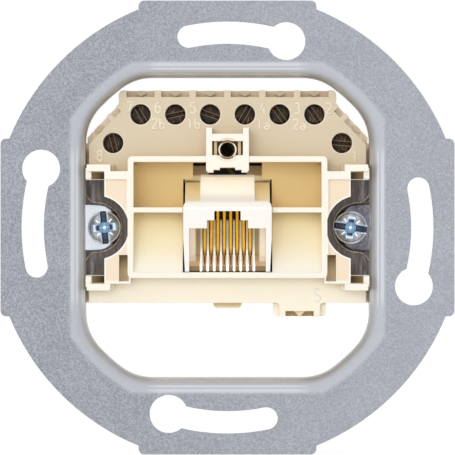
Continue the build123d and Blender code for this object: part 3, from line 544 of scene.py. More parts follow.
def cover_tone(plastic):
    across, depth, height = plastic.across, plastic.depth, plastic.height
    between, product = plastic.between, plastic.product
    # Painted shade: the deck is painted tan, darker towards the top, on all ground from just behind the rim.
    deck_shade = plastic.mix(between(height, -10.0, 8.0), (1.0, 0.92, 0.76), (0.71, 0.6, 0.43))
    # Painted shade: the pocket floors are painted warmer and darker as they lie deeper.
    hollow_shade = product((across, 0.0, 15.0), (height, -7.9, 11.1), (depth, -3.0, 7.4, 0.4))
    above_rib = between(height, 2.4, 2.8)
    deep = plastic.mix(above_rib, between(depth, -1.9, 2.4), between(depth, -1.0, 4.8))
    floor = plastic.mix(above_rib, (1.0, 0.89, 0.62), (0.85, 0.65, 0.3))
    panel = product((across, 15.6, 19.4), (depth, -1.7, -0.5, 0.08), (height, -8.3, 8.0))
    from_bay = plastic.distance(plastic.math("SUBTRACT", across, BAY_X), height)
    # Painted highlight: a pale hem along the bay's curved edge and its straight side.
    bay_edge_highlight = plastic.largest(plastic.within(from_bay, 4.5, 5.2, 0.03), between(across, 18.98, 19.05))
    # Painted light: the slanted part of the ledges is painted lighter.
    ledge = product((depth, 4.8, 5.6), between(height, 12.0, 12.6))
    ledge_painted_light = plastic.mix(between(across, 16.9, 17.3), (0.86, 0.69, 0.5), (0.94, 0.83, 0.68))
    # Painted shade: the slot of the empty shield terminal is painted brown further in.
    slot = product((plastic.x, 8.9, 13.8, 0.05), between(height, -12.8, -12.9), between(depth, 2.3, 2.8))
    slot_shade = plastic.mix(between(depth, 3.0, 4.5), (0.95, 0.8, 0.52), (0.5, 0.34, 0.15))
    # Painted highlight: a thin pale ring just inside each well's edge.
    well_rim_highlight = product((depth, 2.02, 2.18, 0.02), between(height, 10.0, 10.4))
    from_sleeve = plastic.distance(across, plastic.math("SUBTRACT", height, SLEEVE_Z))
    halo = product((from_sleeve, 1.6, 1.95, 0.1), between(depth, -1.2, -1.9), 0.6)
    bar = product((across, 1.6, 2.3, 0.03), (height, 11.0, 13.6, 0.05), between(depth, -1.7, -1.4))
    # Painted shade: the narrow ways beside the bays are painted brown at their upper end and tan below.
    chute = product((across, 15.7, 17.5, 0.05), (height, -8.0, -4.0, 0.1), between(depth, -0.4, 0.6))
    chute_shade = plastic.mix(between(height, -4.2, -7.4), (0.4, 0.25, 0.1), (1.0, 0.86, 0.56))
    return plastic.paint(
        RIM, (between(depth, -1.7, 1.2), deck_shade), (product(hollow_shade, plastic.gray(deep)), floor),
        (panel, (0.91, 0.76, 0.58)), (product(panel, bay_edge_highlight, 0.9), (1.0, 0.97, 0.9)),
        (ledge, ledge_painted_light), (slot, slot_shade), (well_rim_highlight, RIM), (halo, (0.95, 0.8, 0.57)),
        (bar, (0.7, 0.53, 0.3)), (between(depth, 5.6, 7.4), (0.9, 0.8, 0.62)), (chute, chute_shade))


def cover_glow(plastic):
    """Painted light: an emission on the thin slanted ledges beside the shoulders."""
    return plastic.product(plastic.between(plastic.across, 16.9, 17.3), (plastic.depth, 3.7, 6.3, 0.05),
                           plastic.between(plastic.height, 12.0, 12.6), 0.12)


def rear_tone(plastic):
    """One cream tone, a little warmer at its back, and painted shade: brown deep behind the four corner
    windows.
    """
    tone = plastic.mix(plastic.between(plastic.depth, 14.0, 22.0), (0.92, 0.82, 0.64), (0.9, 0.79, 0.6))
    window = plastic.product((plastic.across, 19.4, 21.9, 0.1), (plastic.depth, 11.0, 11.5, 0.05),
                             (plastic.math("ABSOLUTE", plastic.height), 6.4, 9.2, 0.1))
    shade = plastic.mix(plastic.between(plastic.across, 19.6, 21.4), (0.12, 0.06, 0.02), (0.55, 0.38, 0.17))
    return plastic.mix(window, tone, shade)


cover_plastic = moulded("cream_plastic", cover_tone, glow=cover_glow)
dress(cover_plastic, "front_cover")
dress(moulded("cream_plastic_rear", rear_tone), "rear_housing")

# %% [markdown]
# ## The jack's white plastic
#
# The bezel is almost white and the latch housing behind it is ivory. The tan of the side tops and
# of the mouth's lining is painted shade, and the light in the mouth and on the latch housing is a
# painted glow. The comb's ribs are white at their feet and turn grey-tan as they rise, over a brown
# back with pale sides and a dark sill: painted shade, with a painted glow on the ribs.

# %% Jack and comb
JACK_RIM = (0.97, 0.95, 0.91)
CONTACT_PITCH = 1.033


def jack_tone(plastic):
    """White bezel, ivory latch housing, and painted shade: tan side tops and a tan to brown inside."""
    across, depth = plastic.across, plastic.depth
    tone = plastic.mix(plastic.between(depth, -2.2, 0.2), (0.97, 0.94, 0.89), (0.95, 0.91, 0.84))
    # Painted shade: the side tops are painted tan and the inside of the mouth tan to brown.
    shaded_sides = plastic.product(plastic.between(across, 4.2, 4.35), plastic.between(depth, -1.2, 0.4))
    mouth = plastic.product(plastic.between(across, 6.1, 6.0), plastic.between(depth, -1.6, 3.0),
                            (plastic.height, -8.0, 2.6))
    mouth_shade = plastic.mix(plastic.between(across, 4.9, 5.0), (0.4, 0.3, 0.17), (0.96, 0.89, 0.78))
    return plastic.paint(tone, (shaded_sides, (1.0, 0.82, 0.48)), (mouth, mouth_shade))


def jack_glow(plastic):
    """Painted light: an emission inside the mouth, on the latch housing and on the narrow slope at the
    bezel's top.
    """
    across, depth, height = plastic.across, plastic.depth, plastic.height
    inside = plastic.product(plastic.between(across, 6.1, 6.0), plastic.between(depth, -0.8, 3.0),
                             (height, -7.2, 1.0), 0.16)
    upper = plastic.math("MULTIPLY_ADD", plastic.between(height, 3.6, 7.2), 0.26, 0.14)
    latch = plastic.product(plastic.between(across, 4.3, 4.2), plastic.between(depth, -2.0, 0.5),
                            plastic.between(height, 2.6, 2.9), upper)
    slope = plastic.product((height, 2.85, 3.9, 0.12), plastic.between(depth, -4.3, -4.1), 0.15)
    return plastic.math("ADD", inside, plastic.largest(latch, slope))


def on_rib(plastic):
    """1 on the comb's ribs, one contact pitch apart, and 0 on the floor between and beside them."""
    step = plastic.math("DIVIDE", plastic.x, CONTACT_PITCH)
    away = plastic.math("ABSOLUTE", plastic.math("SUBTRACT", step, plastic.math("ROUND", step)))
    return plastic.product(plastic.between(away, 0.2, 0.18), (plastic.x, -4.4, 4.4, 0.02))


def comb_tone(plastic):
    height = plastic.height
    # Painted shade: the ribs turn grey-tan as they rise, and the floor between them is painted brown, with a
    # brown step and a dark sill below.
    shaded_rib = plastic.mix(plastic.between(height, -4.6, -1.2), (0.97, 0.95, 0.93), (0.58, 0.54, 0.45))
    floor = plastic.mix(plastic.between(plastic.across, 4.95, 5.05), (0.48, 0.38, 0.23), (0.98, 0.95, 0.88))
    return plastic.paint(floor, (plastic.between(height, -5.2, -5.4), (0.68, 0.5, 0.28)),
                         (plastic.between(height, -5.9, -6.1), (0.22, 0.12, 0.035)), (on_rib(plastic), shaded_rib))


def comb_glow(plastic):
    """Painted light: an emission on the comb, stronger on the ribs near the open floor."""
    low = plastic.between(plastic.height, -2.6, -5.2)
    return plastic.math("MULTIPLY_ADD", plastic.product(on_rib(plastic), low), 0.4, 0.08)


dress(moulded("jack_plastic", jack_tone, JACK_RIM, hollow_shade=0.1, glow=jack_glow), "jack_housing")
dress(moulded("jack_plastic_comb", comb_tone, JACK_RIM, edge=0.1, hollow_shade=0.1, glow=comb_glow),
      "jack_contact_carrier")

# %% [markdown]
# ## Small moulded parts behind the windows
#
# Beside the latch a tan wall closes the view of the board: it is the rear moulding's shoulder, in
# front of the board. At the outer end of each slanted ledge the clip rail runs on by a short wedge,
# so that no light shows between the ledge and the collar. Under the deck a short tab with rounded
# corners shows: the finger grip of the rear moulding. All are flat plates between two lines.

# %% Shoulder walls, rail ends and the grip tab
def shoulder_tone(plastic):
    """Brown above, where the frame shades it, and tan below."""
    return plastic.mix(plastic.between(plastic.height, 8.4, 8.2), (0.42, 0.27, 0.11), (0.95, 0.76, 0.42))


def shoulder_glow(plastic):
    """Painted light: a little emission on the wall, more of it below."""
    return plastic.math("MULTIPLY_ADD", plastic.between(plastic.height, 9.6, 7.6), 0.22, 0.12)


def tab_tone(plastic):
    return plastic.mix(plastic.between(plastic.height, -12.6, -12.2), (0.96, 0.82, 0.56), (0.8, 0.6, 0.32))


def plate(name, finish, x, low_z, high_z, front_y, thickness):
    """A flat plate between a low and a high line of points over the same places across."""
    low_line, high_line = (np.stack(np.broadcast_arrays(x, front_y, z), -1) for z in (low_z, high_z))
    mesh_piece(name, [ribbon(low_line, high_line, thickness)], "insert")
    dress(finish, name)


shoulder_plastic = moulded("cream_plastic_shoulder", shoulder_tone, edge=0.3, glow=shoulder_glow)
for side, sign in SIDES:
    plate(f"latch_shoulder_{side}", shoulder_plastic, sign * np.array([3.06, 6.8]), 7.15, 9.84, 11.4, 0.45)
    plate(f"rail_end_{side}", cover_plastic, sign * np.array([21.3, 22.1]), 13.2, np.array([15.0, 14.2]),
          4.8, 1.2)

tab_x = np.array([-2.25, -2.15, -1.95, -1.65, 1.65, 1.95, 2.15, 2.25])
tab_z = np.array([-12.0, -12.35, -12.6, -12.7, -12.7, -12.6, -12.35, -12.0])
plate("bottom_tab", moulded("cream_plastic_tab", tab_tone), tab_x, tab_z, -11.7, 4.6, 1.2)

# %% [markdown]
# ## Brass, gold and nickel
#
# The clamps are raw brass. The jack's spring contacts are plated with gold and given a painted
# glow, and near their tips, where the comb shades them, the wires are painted dark as shade. The
# sleeve is nickel plated outside, painted white at its sides and tan above and below as a painted
# reflection, and the thread in its bore is painted dark as shade.

# %% Warm metals
def clamp_brass():
    metal = Finish("clamp_brass", metallic=1.0)
    grain = metal.noise(0.4, 3.0, 0.6)
    metal.colour(metal.ramp(grain, (0.3, (0.52, 0.36, 0.14)), (0.7, (0.78, 0.6, 0.3))))
    return metal.worked(grain, 0.25, 0.42, 0.002)


def contact_gold():
    metal = Finish("gold_contact", metallic=0.5, roughness=0.34)
    grain = metal.noise(0.3, 3.0, 0.6, (1, 0.15, 0.15))
    gilt = metal.ramp(grain, (0.3, (0.86, 0.47, 0.03)), (0.7, (0.98, 0.66, 0.09)))
    # Painted shade: the wires are dark near their tips.
    tone = metal.mix(metal.between(metal.height, -2.8, -4.8), gilt, (0.12, 0.06, 0.02))
    metal.colour(tone)
    # Painted light: the gold glows a little, though it is no lamp.
    metal.glow(tone, 0.22)
    metal.bump(grain, 0.002, edge_mm=0.05)
    return metal.material


def sleeve_nickel():
    metal = Finish("nickel_brass", metallic=1.0)
    grain = metal.noise(0.25, 3.0, 0.6)
    radius = metal.distance(metal.across, metal.math("SUBTRACT", metal.height, SLEEVE_Z))
    # Painted shade: the thread in the bore is painted nearly black.
    bore = metal.product(metal.between(radius, 1.2, 1.08), metal.between(metal.depth, -1.35, -1.0))
    beside = metal.math("DIVIDE", metal.across, radius)
    # Painted reflection: the outside is painted white at its sides and tan above and below.
    outer_reflection = metal.mix(metal.between(beside, 0.55, 0.8), (0.4, 0.27, 0.16), (0.98, 0.97, 0.94))
    inner = metal.ramp(grain, (0.3, (0.66, 0.5, 0.33)), (0.7, (0.86, 0.72, 0.52)))
    metal.colour(metal.paint(inner, (metal.between(radius, 1.2, 1.26), outer_reflection), (bore, (0.02, 0.012, 0.01))))
    return metal.worked(grain, 0.14, 0.3, 0.002)


dress(clamp_brass(), *[f"terminal_clamp_{i}" for i in range(1, 9)])

# %% [markdown]
# ## Zinc, dark steel and the board
#
# The claws and their screws have blue passivated zinc. The photograph shows the left claw's plate
# pale and the right one's dark: the left plate is painted pale as a reflection, with a painted glow,
# the right one dark as shade, and the fork's tips black as shade. A claw screw's head has a grey
# face; its bright flanks and marks are painted highlights, a dark ring on it is painted shade, and
# the blue that deepens into the recess is a painted reflection with a painted glow. The terminal
# screws are black-brown steel with worn streaks, and the edges of their slots are painted highlights.
# The board is painted black-brown as the shade behind the jack, over woven glass.

# %% Cold metals and laminate
def zinc_plate():
    metal = Finish("zinc_plated_steel", metallic=1.0)
    grain = metal.noise(0.45, 3.0, 0.6)
    # Painted light and shade: the left plate is painted pale as a reflection, the right one dark as shade,
    # and the fork's tips black as shade.
    right = metal.between(metal.x, -1.0, 1.0)
    painted_highlight = metal.ramp(grain, (0.3, (0.8, 0.84, 0.88)), (0.7, (0.96, 0.97, 0.98)))
    shaded_grey = metal.ramp(grain, (0.3, (0.2, 0.18, 0.2)), (0.7, (0.5, 0.46, 0.5)))
    leg = metal.ramp(grain, (0.3, (0.56, 0.59, 0.64)), (0.7, (0.78, 0.81, 0.86)))
    shade_mask = metal.between(metal.across, 18.4, 18.0)
    metal.colour(metal.paint(painted_highlight, (right, shaded_grey), (shade_mask, (0.05, 0.042, 0.04)),
                             (metal.between(metal.depth, 7.0, 7.8), leg)))
    metal.set("Metallic", metal.math("MULTIPLY_ADD", right, 0.6, 0.4))
    # Painted light: a glow on the left plate.
    metal.glow((0.9, 0.94, 1.0), metal.product(
        metal.between(metal.x, 1.0, -1.0), metal.between(metal.across, 18.1, 18.6),
        metal.between(metal.depth, 7.4, 6.6), 0.34))
    return metal.worked(grain, 0.16, 0.32, 0.002)


def zinc_head():
    """The attribute "cut" is the depth of the recess in mm, "tick" is 1 on the star marks, and
    "rim" is the distance from the axis over the head's radius."""
    metal = Finish("zinc_screw_head", metallic=0.9)
    cut, tick, rim = (metal.attribute(name) for name in ("cut", "tick", "rim"))
    grain = metal.noise(0.3, 3.0, 0.6)
    # Painted light and shade: the recess is painted from bright at its edge through dark to blue, the star
    # marks and the flank bright, and a thin dark ring near the rim.
    face = metal.ramp(metal.noise(1.6, 2.0, 0.5), (0.35, (0.27, 0.28, 0.3)), (0.65, (0.6, 0.62, 0.65)))
    recess_reflection = metal.ramp(metal.product(cut, 0.7), (0.02, (0.9, 0.95, 1.0)), (0.28, (0.62, 0.78, 0.92)),
                        (0.42, (0.06, 0.07, 0.12)), (0.54, (0.03, 0.04, 0.08)), (0.64, (0.14, 0.3, 0.48)),
                        (0.78, (0.32, 0.54, 0.74)), (0.84, (0.9, 0.96, 1.0)))
    metal.colour(metal.paint(
        face, (metal.between(cut, 0.02, 0.08), recess_reflection), (tick, (0.95, 0.97, 1.0)),
        (metal.within(rim, 0.84, 0.88, 0.02), (0.14, 0.14, 0.16)),
        (metal.product((rim, 0.9, 1.02, 0.02), metal.between(cut, 0.4, 0.1)), (0.72, 0.75, 0.8)),
        (metal.product(grain, 0.2), (0.36, 0.4, 0.46))))
    # Painted light: the recess and the marks glow.
    lit = metal.product(metal.largest(metal.within(cut, 0.08, 0.42, 0.06), tick), 0.45)
    metal.glow(metal.mix(tick, (0.6, 0.76, 0.92), (0.9, 0.94, 1.0)), lit)
    return metal.worked(grain, 0.2, 0.36, 0.003)


def dark_screw():
    """The attribute "burr" is 1 beside the slot; there the steel is painted bright as a highlight."""
    metal = Finish("terminal_screw_steel", metallic=0.1)
    streak = metal.noise(0.5, 3.0, 0.65, (2.2, 1, 0.5))
    base = metal.ramp(streak, (0.42, (0.008, 0.005, 0.004)), (0.58, (0.035, 0.018, 0.009)),
                      (0.7, (0.3, 0.16, 0.05)))
    # Painted highlight: two thin bright lines beside the slot.
    metal.colour(metal.mix(metal.attribute("burr"), base, (0.42, 0.29, 0.17)))
    return metal.worked(streak, 0.35, 0.55, 0.006, 0.04)


def circuit_laminate():
    """Black-brown painted shade over woven glass, with thin dull gold tracks as a coarse maze."""
    board = Finish("circuit_laminate")
    weave = board.add("ShaderNodeTexWave",
                      {"Scale": 1.0, "Distortion": 2.0, "Vector": board.scaled([160.0] * 3)},
                      wave_type="BANDS", bands_direction="DIAGONAL")
    track = board.between(weave.outputs["Fac"], 0.88, 0.96)
    pads = board.noise(0.6, 2.0, 0.5)
    board_shade = board.mix(pads, (0.008, 0.005, 0.004), (0.025, 0.017, 0.011))
    board.set("IOR", 1.25)
    board.colour(board.mix(board.product(track, 0.5), board_shade, (0.2, 0.13, 0.05)))
    board.rough(pads, 0.35, 0.55)
    board.bump(track, 0.03)
    return board.material


dress(zinc_plate(), "claw_left", "claw_right")
dress(circuit_laminate(), "circuit_board")

# %% [markdown]
# ## Claw screws
#
# A claw screw has a pan head with a slot and a cross recess cut into one another, so that either
# driver fits, and four short star marks between the arms. The top of such a head is a height
# field: for every radius and angle there is one depth. The slot, the cross, the well and the marks
# are each a depth, the largest one wins, and the dome's own depth is added to it.

# %% Screw heads as height fields
def trench(across, along, half_width, half_length, depth, wall):
    """Depth of a straight trench: full inside its width and length, with steep sloping walls."""
    side = 1 - smooth_step(np.abs(across), half_width - wall, half_width + wall)
    end = 1 - smooth_step(np.abs(along), half_length - wall, half_length + wall)
    return depth * side * end


def crossed(u, v, half_width, wall):
    """Two trenches across one another, 1 deep, for the arms and for the marks."""
    return np.maximum(trench(v, u, half_width, 1.75, 1.0, wall), trench(u, v, half_width, 1.75, 1.0, wall))


def star_marks(u, v):
    """1 on four short lines between the arms: a cross turned by an eighth, past r = 1.05."""
    lines = crossed((u + v) / math.sqrt(2), (u - v) / math.sqrt(2), 0.08, 0.06)
    return lines * smooth_step(np.hypot(u, v), 1.05, 1.2)


def combination_recess(u, v):
    """Slot, cross recess with flared arms, centre well and star marks, as depths in mm."""
    r = np.hypot(u, v)
    slot = trench(v, u, 0.52, 9.0, 0.72, 0.28)
    cross = crossed(u, v, 0.3 + 0.12 * r, 0.14) * np.clip(1.5 - 0.75 * r, 0.12, 1.05)
    core = 0.98 * (1 - smooth_step(r, 0.85, 1.0))
    well = 1.25 * (1 - smooth_step(r, 0.26, 0.5))
    return np.maximum.reduce([slot, cross, core, well, 0.14 * star_marks(u, v)])


def screw_head(centre, front, seat, radius, dome, recess, turn, rings=70, steps=240, power=2.2):
    """Top of a screw head, seen from -Y: depth = dome x (r/R)^power + recess, then a round flank."""
    ratio = np.linspace(0, 1, rings)[:, None]
    angle = np.linspace(0, 2 * math.pi, steps, endpoint=False)[None, :]
    r = ratio * radius
    depth = front + dome * ratio ** power + recess(r * np.cos(angle - turn), r * np.sin(angle - turn))
    top = turn_about(centre, r, angle, np.minimum(depth, seat - 0.05))
    flank = top[-1:] * (1, 0, 1) + (0, seat, 0)
    under = np.broadcast_to([centre[0], seat, centre[1]], flank.shape)
    return np.concatenate([top, flank, under])


def head_plane(points, centre, back, turn):
    """The place along and across the slot, (u, v), of points before a depth; far off behind it."""
    dx, dz = points[:, 0] - centre[0], points[:, 2] - centre[1]
    u, v = dx * math.cos(turn) + dz * math.sin(turn), dz * math.cos(turn) - dx * math.sin(turn)
    return np.where(points[:, 1] < back, (u, v), 99.0)


# %% [markdown]
# A thread is a wave on the radius: along the shank it goes up and down once per pitch, and each
# turn about the axis shifts it by one pitch. It fades out at both ends, as a rolled thread does.

# %% Threads and shanks
def screw_thread(y, angle, start, end, pitch, depth):
    """Radius change of a thread: a triangle wave of (y/pitch - angle/turn), faded at both ends."""
    phase = (y / pitch - angle / (2 * math.pi)) % 1.0
    ridge = 1 - np.abs(2 * phase - 1)
    fade = smooth_step(y, start, start + pitch) * (1 - smooth_step(y, end - pitch, end))
    return depth * (ridge - 1) * fade


def threaded_shank(centre, y0, y1, radius, pitch, depth, tip, steps=48, rows_per_pitch=8):
    """A shank from y0 to y1 with a helical thread and a chamfered tip, closed at its far end."""
    y = np.linspace(y0, y1, int((y1 - y0) / pitch * rows_per_pitch))
    r = radius - tip * smooth_step(y, y1 - tip, y1)
    return lathe(np.append(r, 0.0), np.append(y, y1), centre,
                 lambda y, angle: screw_thread(y, angle, y0 + 0.4, y1 - tip, pitch, depth), steps)


# %% [markdown]
# The left screw's slot stands nearly upright and the right one's nearly level. The recess, the
# marks and the rim are also kept on each point as attributes, which the finish turns into painted
# highlights, painted shade and a painted reflection.

# %% Claw screws
head_zinc = zinc_head()
for side, degrees in (("left", 95.0), ("right", -8.0)):
    node, turn = f"claw_screw_{side}", math.radians(degrees)
    front, back, centre, radius = turned_box(node)
    seat = front + 1.9
    head = screw_head(centre, front, seat, radius, 0.62, combination_recess, turn)
    shank = threaded_shank(centre, seat, back, radius=1.48, pitch=0.5, depth=0.26, tip=0.45)
    piece = mesh_piece(f"claw_screw_body_{side}", [head, shank], node, [node])
    for mark, rule in (("cut", combination_recess), ("tick", star_marks),
                       ("rim", lambda u, v: np.hypot(u, v) / radius)):
        mark_points(piece, mark, lambda points: rule(*head_plane(points, centre, seat - 0.02, turn)))
    dress(head_zinc, piece.name)

# %% [markdown]
# ## Terminal screws
#
# The eight clamping screws sit deep in round wells. Only the worn, slotted heads show: a flat
# disc with one sawn slot, whose edges catch the light as two thin lines, painted as highlights.
# Each stands at its own angle, as the last turn of the driver left it.

# %% Terminal screws
def burr(v, beside):
    """exp(-((|v| - beside) / 0.06)^2): 1 on two lines along the slot and 0 away from them."""
    return np.exp(-((np.abs(v) - beside) / 0.06) ** 2)


def sawn_slot(u, v):
    """One sawn slot, with a slightly raised burr on both of its edges."""
    return trench(v, u, 0.24, 9.0, 0.6, 0.05) - 0.05 * burr(v, 0.34)


dark_steel = dark_screw()
for index, degrees in enumerate((-5.0, -55.0, -55.0, 60.0, -20.0, 12.0, -60.0, -75.0), start=1):
    node, turn = f"terminal_screw_{index}", math.radians(degrees)
    front, back, centre, radius = turned_box(node)
    seat = front + 1.5
    head = screw_head(centre, front + 0.05, seat, radius, 0.12, sawn_slot, turn,
                      rings=36, steps=144, power=6.0)
    shank = threaded_shank(centre, seat, back, radius=0.98, pitch=0.45, depth=0.16, tip=0.25,
                           steps=32, rows_per_pitch=6)
    piece = mesh_piece(f"clamping_screw_{index}", [head, shank], node, [node])
    mark_points(piece, "burr", lambda points: burr(head_plane(points, centre, front + 0.2, turn)[1], 0.33))
    dress(dark_steel, piece.name)

# %% [markdown]
# ## The threaded sleeve
#
# The centre plate's screw goes into a turned sleeve. Its mouth is chamfered inside and out and
# its bore has a real thread. The profile goes once round the wall of the tube and closes on itself.

# %% Threaded sleeve
SLEEVE_WALL = 0.45

front, back, centre, radius = turned_box("threaded_sleeve")
bore = radius - SLEEVE_WALL
thread_start, thread_end = front + 0.2, back - 0.2
bore_y = np.linspace(thread_start, thread_end, 140)
profile_y = np.concatenate([[back, back - 0.15, front + 0.15, front, front], bore_y, [back, back]])
profile_r = np.concatenate([[radius - 0.12, radius, radius, radius - 0.12, bore + 0.16],
                            np.full(len(bore_y), bore), [bore + 0.16, radius - 0.12]])


def bore_thread(y, angle):
    """The bore's thread cuts outwards into the wall, only on the rows of the bore."""
    thread = screw_thread(y, angle, thread_start, thread_end, pitch=0.5, depth=0.2)
    return np.where((profile_r == bore)[:, None], -thread, 0.0)


mesh_piece("sleeve_turned", [lathe(profile_r, profile_y, centre, bore_thread, steps=64)], "insert",
           ["threaded_sleeve"])
dress(sleeve_nickel(), "sleeve_turned")

# %% [markdown]
# ## Spring contacts
#
# Eight gold wires lean from the floor of the mouth up to the comb and turn back to the board.
# Each is a rounded bar carried along a path with soft bends. The path comes from the corners of
# the contact's bent strip: every corner is replaced by a short quadratic curve between two points
# on its legs.

# %% Contacts
JACK_TILT = math.radians(10.0)
MOUTH_Y, MOUTH_Z = -2.4, -6.9
PIN_ROW_STEP = 2.54


def rounded_path(corners, radius, steps=7):
    """Replace each inner corner by a quadratic curve that starts and ends a radius away from it."""
    corner, ends = corners[1:-1], []
    for neighbour in (corners[:-2], corners[2:]):
        leg = neighbour - corner
        length = np.linalg.norm(leg, axis=1, keepdims=True)
        ends.append((corner + leg / length * np.minimum(radius, 0.45 * length))[:, None])
    curve = quadratic(ends[0], corner[:, None], ends[1], np.linspace(0, 1, steps)[None, :, None])
    return np.concatenate([corners[:1], curve.reshape(-1, 3), corners[-1:]])


def jack_point(depth, height):
    """The (y, z) of a point given by its depth and height in the tilted jack."""
    return (MOUTH_Y + depth * math.cos(JACK_TILT) - height * math.sin(JACK_TILT),
            MOUTH_Z + depth * math.sin(JACK_TILT) + height * math.cos(JACK_TILT))


def contact_path(x, pin_z, pin_end):
    """From the tip in the mouth over the comb and down to the pin, which runs straight back."""
    tip, top, turn = jack_point(1.0, 1.0), jack_point(9.8, 8.0), jack_point(10.9, 8.0)
    middle = [(2 * a + b) / 3 for a, b in zip(tip, top)]
    corners = [(x, *tip), (x, *middle), (x, *top), (x, *turn), (x, turn[0] + 0.36, pin_z + 0.36),
               (x, turn[0] + 1.08, pin_z), (x, pin_end, pin_z)]
    return rounded_path(np.array(corners), 0.45)


gold = contact_gold()
wire_section = soft_rectangle(0.4, 0.34, corner=0.7, steps=20)
for index in range(8):
    node = f"jack_contact_{index + 1}"
    front, back, centre, _ = turned_box(node)
    pin_z = jack_point(12.0, 8.0)[1] - 1.0 - (index % 2) * PIN_ROW_STEP
    path = contact_path(centre[0], pin_z, back - 0.01)
    thinned = 0.5 + 0.5 * smooth_step(path[:, 2], -5.4, -3.6)
    wire = closed_ends(sweep(path, wire_section, widths=np.where(path[:, 1] < 6.0, thinned, 1.0)))
    mesh_piece(f"contact_wire_{index + 1}", [wire], "insert", [node])
    dress(gold, f"contact_wire_{index + 1}")

# %% [markdown]
# ## Raised terminal marks
#
# Plain figures are moulded beside the wells: 1 to 8 for the conductors, 1a to 2b for the pairs and
# S for the shield. Each figure is drawn with a few straight strokes and arcs in a box one unit
# high, and a half-round bead is carried along every stroke.

# %% Strokes of the figures
FIGURE_WIDTH, FIGURE_GAP = 0.54, 0.22


def arc(cx, cy, rx, ry, start, end, steps=14):
    """Points (cx + rx cos a, cy + ry sin a), with a from start to end in degrees."""
    a = np.radians(np.linspace(start, end, steps))
    return np.stack([cx + rx * np.cos(a), cy + ry * np.sin(a)], -1)


def line(*corners):
    """Straight runs from corner to corner, with five points on each."""
    corners = np.array(corners)
    t = np.linspace(0, 1, 5)[None, :, None]
    return (corners[:-1, None] * (1 - t) + corners[1:, None] * t).reshape(-1, 2)


FIGURES = {
    "1": [line((0.1, 0.78), (0.3, 1.0), (0.3, 0.0))],
    "2": [np.concatenate([arc(0.26, 0.74, 0.24, 0.26, 165, -25),
                          line((0.46, 0.6), (0.02, 0.0), (0.52, 0.0))])],
    "3": [arc(0.24, 0.75, 0.22, 0.25, 150, -90), arc(0.24, 0.26, 0.26, 0.26, 90, -150)],
    "4": [line((0.36, 1.0), (0.02, 0.34), (0.54, 0.34)), line((0.4, 0.6), (0.4, 0.0))],
    "5": [line((0.48, 1.0), (0.1, 1.0), (0.07, 0.56)), arc(0.24, 0.32, 0.26, 0.32, 130, -145)],
    "6": [arc(0.27, 0.3, 0.25, 0.3, 0, 360), arc(0.5, 0.4, 0.48, 0.6, 180, 105)],
    "7": [line((0.02, 1.0), (0.52, 1.0), (0.18, 0.0))],
    "8": [arc(0.27, 0.76, 0.21, 0.24, 0, 360), arc(0.27, 0.27, 0.25, 0.27, 0, 360)],
    "a": [np.concatenate([arc(0.25, 0.4, 0.22, 0.2, 150, 0), line((0.47, 0.4), (0.47, 0.0))]),
          arc(0.24, 0.17, 0.21, 0.17, 0, 360)],
    "b": [arc(0.27, 0.28, 0.23, 0.28, 0, 360), line((0.03, 1.0), (0.03, 0.0))],
    "S": [np.concatenate([arc(0.27, 0.76, 0.23, 0.24, 35, 270), arc(0.27, 0.26, 0.25, 0.26, 90, -145)])],
}

# %% [markdown]
# Each mark has a text, a place across, a height and a size in millimetres. Its figures stand side
# by side about that place, on the face of the deck.

# %% Marks on the deck
DECK_Y = 2.0
MARKS = [
    ("7", -15.4, 19.0, 1.7), ("6", -10.95, 18.9, 1.7), ("5", -5.45, 18.8, 1.7),
    ("4", 5.5, 18.7, 1.7), ("3", 10.95, 18.75, 1.7), ("2", 15.9, 18.75, 1.7),
    ("2b", -10.85, 16.35, 1.6), ("1b", -5.3, 16.35, 1.6), ("1a", 5.6, 16.25, 1.6), ("2a", 11.3, 16.2, 1.6),
    ("8", -20.1, 11.25, 1.7), ("1", 20.0, 11.2, 1.7), ("S", 14.05, -10.65, 1.9),
]


# Painted shade: the marks are painted darker towards the top, as the deck is.
def mark_tone(plastic):
    return plastic.mix(plastic.between(plastic.height, -12.0, 8.0), (0.99, 0.95, 0.87), (0.93, 0.85, 0.7))


def stroke_bead(stroke, size, left, low):
    """A bead along one stroke on the deck; points that repeat the one before are left out."""
    path = np.stack([left + stroke[:, 0] * size, np.full(len(stroke), DECK_Y), low + stroke[:, 1] * size], -1)
    moves = np.linalg.norm(np.diff(path, axis=0), axis=1) > 1e-4
    return closed_ends(sweep(path[np.append(True, moves)], mark_bead, side=(0.0, 1.0, 0.0)))


mark_bead = soft_rectangle(0.32, 0.3, corner=1.0, steps=8)
mark_plastic = moulded("cream_plastic_mark", mark_tone, edge=0.0)
for text, x, z, size in MARKS:
    pen = x - (FIGURE_WIDTH * len(text) + FIGURE_GAP * (len(text) - 1)) * size / 2
    beads = []
    for figure in text:
        beads += [stroke_bead(stroke, size, pen, z - size / 2) for stroke in FIGURES[figure]]
        pen += (FIGURE_WIDTH + FIGURE_GAP) * size
    name = f"mark_{text}_{'shield' if text == 'S' else 'terminal'}"
    mesh_piece(name, beads, "insert")
    dress(mark_plastic, name)

# %% [markdown]
# ## Floor, light and camera
#
# The part stands upright on a pale floor in an even white room. Rays that go straight to the
# camera see the room and the floor as white, and the floor keeps a trace of the shadow.

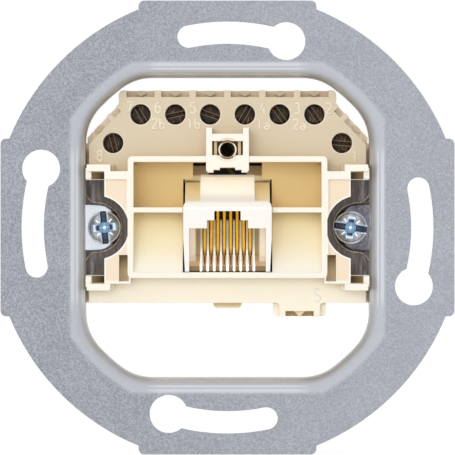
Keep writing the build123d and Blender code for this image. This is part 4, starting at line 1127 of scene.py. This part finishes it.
# %% Floor and world
reach = 3.0
floor_z = cad_low.z
floor_mesh = bpy.data.meshes.new("floor")
floor_mesh.from_pydata([(-reach, -reach, floor_z), (reach, -reach, floor_z), (reach, reach, floor_z),
                        (-reach, reach, floor_z)], [], [(0, 1, 2, 3)])
floor = bpy.data.objects.new("floor", floor_mesh)
bpy.context.scene.collection.objects.link(floor)
paper = Finish("floor_paper", roughness=0.9)
paper.colour(paper.ramp(paper.noise(40.0), (0.0, (0.9, 0.9, 0.9)), (1.0, (0.93, 0.93, 0.93))))
paper.join(paper.blend(paper.product(paper.seen_straight(), 0.8), paper.shader.outputs[0],
                       paper.white("ShaderNodeEmission", 1.09)), paper.output)
dress(paper.material, "floor")

world = bpy.data.worlds.new("white_room")
bpy.context.scene.world = world
world.use_nodes = True
room = Wiring(world.node_tree)
room.add("ShaderNodeOutputWorld", {0: room.blend(
    room.seen_straight(), room.white("ShaderNodeBackground", 0.68), room.white("ShaderNodeBackground", 1.0))})

# %% [markdown]
# A large soft lamp before the part and a weaker one above and to the left give the shapes their
# gentle shade, and a third one lights the rear. Metal mirrors the even white room, not the lamps,
# so it shows its own colour. The camera looks straight at the front from 0.6 m with a long lens,
# as the photograph was taken: the ring's front face just fills the picture's width.

# %% Lamps and camera
def soft_lamp(name, place, size, power):
    """A square lamp that faces the part: its -Z axis points along the way to the origin."""
    data = bpy.data.lights.new(name, "AREA")
    data.shape = "SQUARE"
    data.size = size
    data.energy = power
    lamp = bpy.data.objects.new(name, data)
    lamp.visible_glossy = False
    bpy.context.scene.collection.objects.link(lamp)
    lamp.location = place
    lamp.rotation_euler = (-Vector(place)).to_track_quat("-Z", "Y").to_euler()


soft_lamp("key_lamp", (-0.12, -0.9, 0.06), 0.45, 2.85)
soft_lamp("fill_lamp", (-0.4, -0.6, 0.38), 0.5, 0.9)
soft_lamp("back_lamp", (0.3, 0.9, 0.3), 0.45, 2.4)

camera_away = 0.6
ring_front = -1.2 * MM
photo_pixels, pixels_per_mm = 455, 6.394
picture_width = photo_pixels / pixels_per_mm * MM
camera_data = bpy.data.cameras.new("camera")
camera_data.sensor_width = 36.0
camera_data.lens = camera_data.sensor_width * (camera_away + ring_front) / picture_width
camera_data.clip_start = 0.01
camera = bpy.data.objects.new("camera", camera_data)
bpy.context.scene.collection.objects.link(camera)
camera.location = (0, -camera_away, 0)
camera.rotation_euler = (math.pi / 2, 0, 0)
bpy.context.scene.camera = camera
bpy.context.scene.view_settings.view_transform = "Standard"
print("picture", round(picture_width / MM, 1), "mm wide, lens", round(camera_data.lens), "mm")
